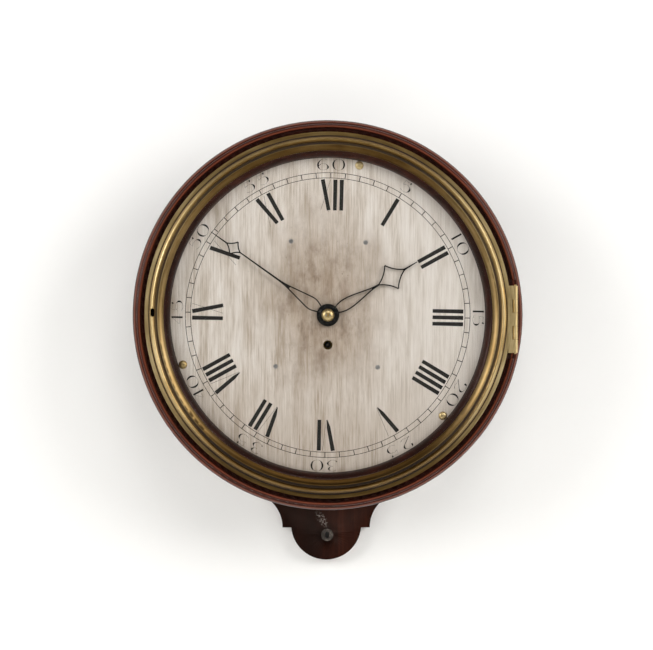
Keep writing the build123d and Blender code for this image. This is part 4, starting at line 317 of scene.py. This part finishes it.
def bezelFinish():  # cast brass, polished on the crests, brown with old polish in the hollows; painted shade at twelve and six, on the inner bevel and on the inner side of the bead
    paint = Paint("bezelBrass", {})
    radius, _, around = paint.turned()
    wiped = paint.noise(paint.node("ShaderNodeMapping", {}, {0: around, 3: (5.0, 5.0, 0.5)}), 1.0, 3.0, 0.55)
    rings = paint.noise(paint.node("ShaderNodeMapping", {}, {0: around, 3: (1.5, 1.5, 5.0)}), 1.0, 2.0, 0.5)
    film = paint.noise(paint.place, 26.0, 4.0, 0.6)
    colour = paint.ramp(wiped * 0.5 + film * 0.5, [
        (0.34, tone(168, 142, 94)), (0.5, tone(206, 182, 130)), (0.66, tone(232, 212, 164))])
    z = paint.axes()[2]
    upOrDown = (z * z) ** 0.5 / radius  # 0 at three and nine o'clock, 1 at twelve and six
    onBezel = paint.band(radius, *where["bezelEdge"])
    # painted shade: the bezel darker towards twelve and six, where its brass reflects the dark room
    topAndBottomShade = paint.band(upOrDown + film * 0.3, 0.55, 1.05) * onBezel
    colour = paint.darken(colour, topAndBottomShade * 0.9, tone(158, 144, 116))
    # painted shade on the inner bevel beside the glass: darkened
    bevel = onBezel * (1 - paint.band(radius, *where["bevelEdge"]))
    colour = paint.darken(colour, bevel * 0.95, tone(158, 146, 132))
    # painted shade on the inner side of the bead, which faces away from the lamps: darkened brown
    brown = paint.between(radius, *where["beadShadeBand"], 0.4)
    colour = paint.darken(colour, brown * 0.8, tone(166, 148, 126))
    # more painted shade on the lower part of the bezel
    colour = paint.darken(colour, topAndBottomShade * (1 - paint.band(z, -90.0, 20.0)) * 0.6, tone(176, 160, 132))
    outer = paint.between(radius, *where["outerHollow"], 0.35)
    inner = paint.between(radius, *where["innerHollow"], 0.4)
    dirt = (outer + inner) * (0.75 + film * 0.4)
    colour = paint.darken(colour, dirt, tone(70, 50, 30))
    paint.feed("Base Color", colour)
    paint.feed("Metallic", 1.0 - dirt * 0.6)
    paint.feed("Roughness", 0.27 + wiped * 0.2 + dirt * 0.3)
    paint.bump(rings, 0.08, 0.0002)
    return paint.material


def dialFinish():  # silvered brass worn thin: upright brushing, brown stains round the middle; painted shade in the middle and round the rim, painted light on the right
    paint = Paint("silveredDial", {"Specular IOR Level": 0.4})
    x, _, z = paint.axes()
    brushing = paint.noise(paint.stretched((1150.0, 1150.0, 34.0)), 1.0, 3.0, 0.65)
    broad = paint.noise(paint.stretched((95.0, 95.0, 16.0)), 1.0, 4.0, 0.6)
    clouds = paint.noise(paint.place, 21.0, 4.0, 0.6)
    blots = paint.noise(paint.stretched((75.0, 75.0, 42.0)), 1.0, 5.0, 0.7)
    specks = paint.noise(paint.place, 380.0, 2.0, 0.6)
    colour = paint.ramp(broad * 0.5 + brushing * 0.5, [
        (0.38, tone(184, 169, 151)), (0.5, tone(217, 206, 193)), (0.62, tone(234, 226, 216))])
    middle = ((x + 2.0) * (x + 2.0) / 5200.0 + (z - 12.0) * (z - 12.0) / 9800.0) ** 0.5
    # brown stains round the middle, together with painted shade for the metal's darker reflection there
    rubbedAndPaintedLight = 1 - paint.band(middle + clouds * 0.9 - 0.45, 0.15, 1.25)
    colour = paint.darken(colour, rubbedAndPaintedLight * 0.7, tone(200, 184, 166))
    stain = rubbedAndPaintedLight * paint.band(blots * 0.55 + brushing * 0.45, 0.45, 0.66)
    colour = paint.darken(colour, stain * 0.8, tone(146, 124, 102))
    spots = paint.band(specks, 0.7, 0.76) * (0.25 + rubbedAndPaintedLight * 0.6)
    colour = paint.darken(colour, spots, tone(120, 104, 88))
    # painted light: the right side of the dial paler
    colour = paint.blend(paint.band(x + clouds * 30.0, 25.0, 125.0) * 0.45, colour, tone(231, 224, 215))
    lower = (1 - paint.band(z + clouds * 40.0, -110.0, 0.0)) * (0.35 + broad * 0.6)
    colour = paint.darken(colour, lower * 0.6, tone(196, 182, 166))
    # painted shadow of the bezel round the rim of the dial
    bezelShadow = paint.band(away(x, z), *where["bezelShadowRadii"])
    colour = paint.darken(colour, bezelShadow * 0.3, tone(170, 160, 150))
    paint.feed("Base Color", colour)
    paint.feed("Metallic", 0.22 + rubbedAndPaintedLight * 0.08)
    paint.feed("Roughness", 0.46 + clouds * 0.12)
    paint.bump(brushing, 0.06, 0.0001)
    return paint.material


def clearGlass():  # old flat glass, so thin a film of shine that the dial reads through it
    paint = Paint("windowGlass", {"Roughness": 0.03})
    smear = paint.noise(paint.place, 14.0, 3.0, 0.5)
    sheen = paint.node("ShaderNodeLayerWeight", {}, {"Blend": 0.2}, "Fresnel")
    paint.feed("Base Color", paint.ramp(smear, [(0.3, tone(34, 42, 38)), (0.7, tone(44, 52, 48))]))
    paint.feed("Alpha", 0.012 + smear * 0.012 + sheen * 0.35)
    return paint.material


def waxFinish():  # black wax that fills the engraving, a little worn
    paint = Paint("engravingWax", {"Specular IOR Level": 0.3})
    worn = paint.noise(paint.place, 700.0, 3.0, 0.6)
    paint.feed("Base Color", paint.ramp(worn, [
        (0.35, tone(22, 19, 16)), (0.62, tone(34, 30, 25)), (0.75, tone(80, 72, 62))]))
    paint.feed("Roughness", 0.5 + worn * 0.2)
    return paint.material


def hairlineFinish():  # lines of the minute ring and thin strokes of the numerals, their wax partly gone
    paint = Paint("hairlineWax", {"Specular IOR Level": 0.3})
    worn = paint.noise(paint.place, 520.0, 3.0, 0.6)
    paint.feed("Base Color", paint.ramp(worn, [
        (0.42, tone(36, 31, 26)), (0.56, tone(64, 56, 48)), (0.66, tone(150, 140, 128))]))
    paint.feed("Roughness", 0.5 + worn * 0.2)
    return paint.material


tones = {  # the dark, the middle and the pale tone of each plain finish
    "case_mahogany": (tone(28, 10, 6), tone(52, 21, 12), tone(82, 38, 22)),
    "plain_wood": (tone(140, 104, 66), tone(168, 130, 86), tone(190, 154, 108)),
    "old_iron": (tone(40, 36, 33), tone(84, 78, 72), tone(140, 130, 120)),
    "case_brass": (tone(112, 84, 44), tone(150, 118, 66), tone(176, 146, 88)),
    "hand_steel": (tone(22, 20, 19), tone(32, 30, 28), tone(46, 42, 38)),
    "steel": (tone(140, 138, 134), tone(166, 164, 160), tone(186, 182, 176)),
    "movement_brass": (tone(168, 132, 70), tone(200, 166, 98), tone(222, 192, 128)),
    "bob_brass": (tone(150, 116, 60), tone(190, 154, 88), tone(212, 180, 116)),
    "gut": (tone(150, 110, 62), tone(178, 138, 84), tone(200, 164, 110)),
}

finishes = {
    "surround_mahogany": turnedWood(),
    "case_mahogany": plankWood("caseMahogany", tones["case_mahogany"], 0.34, True),
    "plain_wood": plankWood("plainPine", tones["plain_wood"], 0.55, False),
    "old_iron": ironFinish("oldIron", tones["old_iron"], 0.42),
    "case_brass": plainBrass("caseBrass", tones["case_brass"], 0.32),
    "bezel_brass": bezelFinish(),
    "window_glass": clearGlass(),
    "silvered_brass": dialFinish(),
    "hand_steel": ironFinish("handSteel", tones["hand_steel"], 0.34),
    "steel": ironFinish("brightSteel", tones["steel"], 0.25),
    "movement_brass": plainBrass("movementBrass", tones["movement_brass"], 0.24),
    "bob_brass": plainBrass("bobBrass", tones["bob_brass"], 0.22),
    "gut": plankWood("gutLine", tones["gut"], 0.45, False),
}
wax = waxFinish()
hairline = hairlineFinish()
print("stage 2:", len(finishes) + 2, "finishes")

slotOfNode = {row["node"]: row["material_slot"] for row in frame["record"]["subparts"]}
bodyOfNode = {name: body for body, names in frame["record"]["behaviour"]["bodies"].items() for name in names}
for name, node in frame["nodes"].items():
    node.data.materials.clear()
    node.data.materials.append(finishes[slotOfNode[name]])


# Pieces in the solids' own shape, with their curved faces shaded smooth

smoothEdges = {  # node: edges flatter than this angle are shaded smooth, in degrees
    "dial_surround": 32.0,
    "bezel": 32.0,
    "minute_hand": 40.0,
    "hour_hand": 40.0,
    "hand_collet": 40.0,
    "dial_screws": 35.0,
    "back_board": 30.0,
    "bob": 30.0,
    "fusee": 30.0,
    "barrel": 30.0,
    "pillars": 30.0,
    "bezel_hinge_leaf": 30.0,
    "case_hinge_leaf": 30.0,
    "bezel_hinge_pin": 30.0,
    "rating_nut": 30.0,
    "pendulum_rod": 30.0,
}


def smoothed(name, angle):  # a copy of the node's mesh, joined at its doubles, sharp only past the angle
    copy = bmesh.new()
    copy.from_mesh(frame["nodes"][name].data)
    bmesh.ops.remove_doubles(copy, verts=copy.verts, dist=0.002 * mm)
    mesh = bpy.data.meshes.new(name + "_smooth")
    copy.to_mesh(mesh)
    copy.free()
    mesh.shade_smooth()
    mesh.set_sharp_from_angle(angle=math.radians(angle))
    mesh.materials.clear()
    mesh.materials.append(finishes[slotOfNode[name]])
    piece = bpy.data.objects.new(name + "_smooth", mesh)
    bpy.context.scene.collection.objects.link(piece)
    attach(piece, bodyOfNode[name])
    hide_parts(name)
    return piece


for name, angle in smoothEdges.items():
    smoothed(name, angle)
print("stage 3:", len(smoothEdges), "nodes shaded smooth")


# Engraving of the dial

engraving = {
    "turn": 1.2,  # degrees clockwise: the engraver's twelve isn't quite at the top
    "height": 0.04,
    "romanInner": 102.6,
    "romanOuter": 132.7,
    "barOuter": 3.95,
    "barInner": 3.6,
    "hair": 0.3,
    "pitch": {"II": 6.25, "IV": 8.7, "VI": 8.7, "IX": 9.5, "XI": 9.2},
    "thickReach": {"V": (-5.1, 1.1), "X": (-3.2, 3.2)},
    "thinReach": {"V": (5.1, 1.9), "X": (4.5, -4.6)},
    "nudge": {12: 1.7, 9: 1.0},
    "numbersInner": 141.9,
    "numbersOuter": 152.9,
    "digitWidth": 10.8,
    "digitPitch": 15.2,
    "narrowPitch": 13.2,
    "closeDigit": {"15": -5.3, "45": -1.4},  # the last digit moves this far toward the first
    "digitThick": 1.75,
    "digitThin": 0.16,
    "hairStrokes": (("4", 0), ("5", 2)),  # digit and which of its strokes is drawn without swelling
    "ringRadii": (134.3, 139.4),
    "ringLine": 0.58,
    "tickWidth": 0.85,
    "tickHigher": 0.005,
    "hairLower": 0.01,
    "wedgeShare": 0.76,  # a V's thick stroke keeps its width this far and then runs to a point
    "wedgeTip": 0.7,
    "hours": ("I", "II", "III", "IIII", "V", "VI", "VII", "VIII", "IX", "X", "XI", "XII"),
}

digitStrokes = {  # across -0.5..0.5, upward 0..1; the pen is broad on uprights
    "0": [[(0, 1), (-0.36, 0.86), (-0.5, 0.5), (-0.36, 0.14), (0, 0), (0.36, 0.14), (0.5, 0.5), (0.36, 0.86),
           (0, 1)]],
    "1": [[(0, 1), (0, 0.5), (0, 0)]],
    "2": [[(-0.38, 0.7), (-0.32, 0.92), (0, 1), (0.34, 0.86), (0.36, 0.62), (0.05, 0.36), (-0.44, 0.0)],
          [(-0.44, 0.0), (-0.1, 0.07), (0.2, 0.0), (0.46, 0.14)]],
    "3": [[(-0.36, 0.86), (0, 1), (0.32, 0.82), (0.2, 0.6), (-0.06, 0.54)],
          [(-0.06, 0.54), (0.32, 0.46), (0.42, 0.24), (0.1, 0.0), (-0.24, 0.02), (-0.4, 0.16)]],
    "4": [[(0.14, 1), (-0.46, 0.3)], [(-0.46, 0.3), (0.46, 0.3)], [(0.14, 1), (0.14, 0.5), (0.14, 0.0)]],
    "5": [[(-0.24, 0.98), (0.1, 0.93), (0.36, 1.0)],
          [(0.36, 1.0), (0.28, 0.84)],
          [(-0.24, 0.98), (-0.3, 0.56)],
          [(-0.3, 0.56), (0, 0.66), (0.36, 0.56), (0.48, 0.32), (0.34, 0.09), (0, 0), (-0.36, 0.12)]],
    "6": [[(0.34, 0.93), (0.05, 1), (-0.32, 0.8), (-0.48, 0.42), (-0.3, 0.08), (0.02, 0), (0.38, 0.12),
           (0.42, 0.36), (0.16, 0.56), (-0.16, 0.54), (-0.42, 0.36)]],
}


def throughPoints(points, steps):  # smooth curve through the points: each span is a cubic on four neighbours
    points = np.array(points, dtype=float)
    padded = np.vstack([2 * points[0] - points[1], points, 2 * points[-1] - points[-2]])
    if np.allclose(points[0], points[-1]):
        padded[0] = points[-2]
        padded[-1] = points[1]
    spans = len(points) - 1
    place = np.linspace(0, spans, spans * steps + 1)
    span = np.minimum(place.astype(int), spans - 1)
    t = (place - span)[:, None]
    a, b, c, d = padded[span], padded[span + 1], padded[span + 2], padded[span + 3]
    square = 2 * a - 5 * b + 4 * c - d
    cube = 3 * b - a - 3 * c + d
    return 0.5 * (2 * b + (c - a) * t + square * t ** 2 + cube * t ** 3)


def ribbon(path, width, low, high, closed=False):
    # four corners carried along the path: half the width to each side, at the low and the high depth
    ahead = np.roll(path, -1, axis=0) if closed else np.vstack([path[1:], 2 * path[-1] - path[-2]])
    behind = np.roll(path, 1, axis=0) if closed else np.vstack([2 * path[0] - path[1], path[:-1]])
    along = ahead - behind
    along /= np.linalg.norm(along, axis=1)[:, None]
    side = np.stack([along[:, 1], -along[:, 0]], axis=1) * (np.broadcast_to(width, len(path)) / 2)[:, None]
    count = len(path)
    corners = np.empty((count, 4, 3))
    for corner, (sign, depth) in enumerate(((-1, low), (-1, high), (1, high), (1, low))):
        corners[:, corner, 0] = path[:, 0] + sign * side[:, 0]
        corners[:, corner, 1] = -depth
        corners[:, corner, 2] = path[:, 1] + sign * side[:, 1]
    here = np.arange(count if closed else count - 1)[:, None]
    there = (here + 1) % count
    k = np.arange(4)[None, :]
    after = (k + 1) % 4
    sides = [here * 4 + k, here * 4 + after, there * 4 + after, there * 4 + k]
    faces = np.stack(sides, axis=2).reshape(-1, 4)
    if not closed:
        last = 4 * (count - 1)
        faces = np.vstack([faces, [[3, 2, 1, 0], [last, last + 1, last + 2, last + 3]]])
    return corners.reshape(-1, 3), faces


def onDial(across, outward, bearing):  # x and z of a point outward along the bearing and clockwise across it
    turn = math.radians(bearing + engraving["turn"])
    x = outward * math.sin(turn) + across * math.cos(turn)
    z = outward * math.cos(turn) - across * math.sin(turn)
    return np.stack(np.broadcast_arrays(x, z), axis=-1)


def builtFrom(name, parts, body, finish):
    # one mesh of all parts: the corner numbers of each part's faces go up by the corners before it
    starts = np.cumsum([0] + [len(corners) for corners, _ in parts])
    corners = np.vstack([corners for corners, _ in parts]) * mm
    faces = np.vstack([faces + start for (_, faces), start in zip(parts, starts)])
    mesh = bpy.data.meshes.new(name)
    mesh.from_pydata(corners.tolist(), [], faces.tolist())
    shell = bmesh.new()
    shell.from_mesh(mesh)
    bmesh.ops.recalc_face_normals(shell, faces=shell.faces)
    shell.to_mesh(mesh)
    shell.free()
    mesh.materials.append(finish)
    piece = bpy.data.objects.new(name, mesh)
    bpy.context.scene.collection.objects.link(piece)
    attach(piece, body)
    return piece


top = dialFront + engraving["height"]


def romanStrokes(word):  # the bars of one hour as rows of outer place, inner place and a thickness word
    places = [0.0]
    for pair in zip(word, word[1:]):
        places.append(places[-1] + engraving["pitch"]["".join(pair)])
    reach = {"I": 1.8, "V": 5.3, "X": 4.8}
    middle = (places[0] - reach[word[0]] + places[-1] + reach[word[-1]]) / 2
    rows = []
    for letter, place in zip(word, places):
        place -= middle
        if letter == "I":
            rows.append((place, place, "bar"))
        else:
            thick = engraving["thickReach"][letter]
            thin = engraving["thinReach"][letter]
            rows.append((place + thick[0], place + thick[1], "wedge" if letter == "V" else "bar"))
            rows.append((place + thin[0], place + thin[1], "hair"))
    return rows


hourParts = []
hairParts = []
for hour, word in enumerate(engraving["hours"], start=1):
    nudge = engraving["nudge"].get(hour, 0.0)
    for outerPlace, innerPlace, weight in romanStrokes(word):
        across = np.array([outerPlace, (outerPlace + innerPlace) / 2, innerPlace]) + nudge
        outward = np.linspace(engraving["romanOuter"], engraving["romanInner"], 3)
        path = onDial(across, outward, hour * 30.0)
        if weight == "bar":
            width = np.linspace(engraving["barOuter"], engraving["barInner"], 3)
            hourParts.append(ribbon(path, width, dialFront, top))
        elif weight == "wedge":
            share = np.array([0.0, 0.5, engraving["wedgeShare"], 1.0])
            along = outward[0] + (outward[-1] - outward[0]) * share
            path = onDial(outerPlace + (innerPlace - outerPlace) * share + nudge, along, hour * 30.0)
            widths = (engraving["barOuter"], engraving["barInner"], engraving["wedgeTip"])
            width = np.interp(share, (0.0, engraving["wedgeShare"], 1.0), widths)
            hourParts.append(ribbon(path, width, dialFront, top))
        else:
            hairParts.append(ribbon(path, engraving["hair"], dialFront, top - engraving["hairLower"]))
builtFrom("hour_numerals", hourParts, "case", wax)
builtFrom("numeral_hairlines", hairParts, "case", hairline)

numberParts = []
digitHeight = engraving["numbersOuter"] - engraving["numbersInner"]
for five in range(1, 13):
    word = str(five * 5)
    pitch = engraving["narrowPitch"] if "1" in word or "4" in word else engraving["digitPitch"]
    for index, digit in enumerate(word):
        middle = (index - (len(word) - 1) / 2) * pitch
        if index == 1:
            middle += engraving["closeDigit"].get(word, 0.0)
        for number, stroke in enumerate(digitStrokes[digit]):
            curve = throughPoints(stroke, 8 if len(stroke) > 3 else 3)
            across = middle + curve[:, 0] * engraving["digitWidth"]
            outward = engraving["numbersInner"] + curve[:, 1] * digitHeight
            slope = np.gradient(np.stack([across, outward], axis=1), axis=0)
            upright = slope[:, 1] ** 2 / (slope ** 2).sum(axis=1)
            swell = engraving["digitThick"] - engraving["digitThin"]
            if (digit, number) in engraving["hairStrokes"]:
                swell = 0.0
            width = engraving["digitThin"] + swell * upright ** 1.5
            path = onDial(across, outward, five * 30.0)
            numberParts.append(ribbon(path, width, dialFront, top))
builtFrom("minute_numbers", numberParts, "case", wax)

ringParts = []
angles = np.linspace(0, 2 * math.pi, 360, endpoint=False)
for radius in engraving["ringRadii"]:
    circle = np.stack([np.sin(angles), np.cos(angles)], axis=1) * radius
    ringParts.append(ribbon(circle, engraving["ringLine"], dialFront, top, closed=True))
for minute in range(60):
    outward = np.array(engraving["ringRadii"])
    path = onDial(np.zeros(2), outward, minute * 6.0)
    ringParts.append(ribbon(path, engraving["tickWidth"], dialFront, top + engraving["tickHigher"]))
builtFrom("minute_ring", ringParts, "case", hairline)
print("stage 4: engraving with", len(hourParts), "bars and", len(numberParts), "pen strokes")


# Room: wall, floor and light

room = {
    "wallBehind": 0.0004,
    "wallHalf": 3.0,
    "floorDown": -0.85,
    "floorDepth": 5.0,
    "wallColour": tone(247, 246, 243),
    "floorColour": tone(240, 239, 236),
    "daylight": 0.24,
    "skyColour": (0.95, 0.96, 1.0, 1.0),
    "lamps": {  # name: place, aim, size, watts
        "rightLamp": ((2.1, -1.8, 0.9), (0.0, 0.0, 0.0), 1.7, 46.0),
        "leftLamp": ((-2.2, -1.6, 0.7), (0.0, 0.0, 0.0), 1.7, 42.0),
        "frontLamp": ((0.35, -2.9, 1.9), (0.0, 0.0, 0.0), 1.6, 22.0),
        "backLamp": ((0.9, 2.4, 1.3), (0.0, 0.0, 0.0), 2.2, 26.0),
    },
}


def roomPaint(name, colour):  # pale in front; from behind, and for shadows, it isn't there
    paint = Paint(name, {"Roughness": 0.9, "Base Color": colour})
    seenBehind = paint.node("ShaderNodeNewGeometry", {}, {}, "Backfacing")
    forShadow = paint.node("ShaderNodeLightPath", {}, {}, "Is Shadow Ray")
    clear = paint.node("ShaderNodeBsdfTransparent", {}, {})
    hidden = paint.node("ShaderNodeMath", {"operation": "MAXIMUM"}, {0: seenBehind, 1: forShadow})
    body = Wire(paint, paint.shader.outputs[0])
    mixed = paint.node("ShaderNodeMixShader", {}, {0: hidden, 1: body, 2: clear})
    paint.tree.links.new(mixed.socket, paint.tree.nodes["Material Output"].inputs["Surface"])
    return paint.material


def sheetPiece(name, corners, material):  # one face on four corners
    mesh = bpy.data.meshes.new(name)
    mesh.from_pydata(corners, [], [(0, 1, 2, 3)])
    mesh.materials.append(material)
    piece = bpy.data.objects.new(name, mesh)
    bpy.context.scene.collection.objects.link(piece)
    return piece


half = room["wallHalf"]
back = room["wallBehind"]
down = room["floorDown"]
wallCorners = [(-half, back, down), (half, back, down), (half, back, half), (-half, back, half)]
sheetPiece("wall", wallCorners, roomPaint("paleWall", room["wallColour"]))
deep = room["floorDepth"]
floorCorners = [(-half, -deep, down), (half, -deep, down), (half, back, down), (-half, back, down)]
sheetPiece("floor", floorCorners, roomPaint("paleFloor", room["floorColour"]))

for name, (place, aim, size, watts) in room["lamps"].items():
    lamp = bpy.data.lights.new(name, "AREA")
    lamp.shape = "DISK"
    lamp.size = size
    lamp.energy = watts
    lampObject = bpy.data.objects.new(name, lamp)
    lampObject.location = place
    toward = np.array(aim) - np.array(place)
    lampObject.rotation_euler = (
        math.atan2(math.hypot(toward[0], toward[1]), -toward[2]),
        0.0,
        math.atan2(toward[1], toward[0]) - math.pi / 2,
    )
    bpy.context.scene.collection.objects.link(lampObject)

world = bpy.data.worlds.new("paleRoom")
world.use_nodes = True
world.node_tree.nodes["Background"].inputs["Color"].default_value = room["skyColour"]
world.node_tree.nodes["Background"].inputs["Strength"].default_value = room["daylight"]
bpy.context.scene.world = world
print("stage 5: room and", len(room["lamps"]), "lamps")
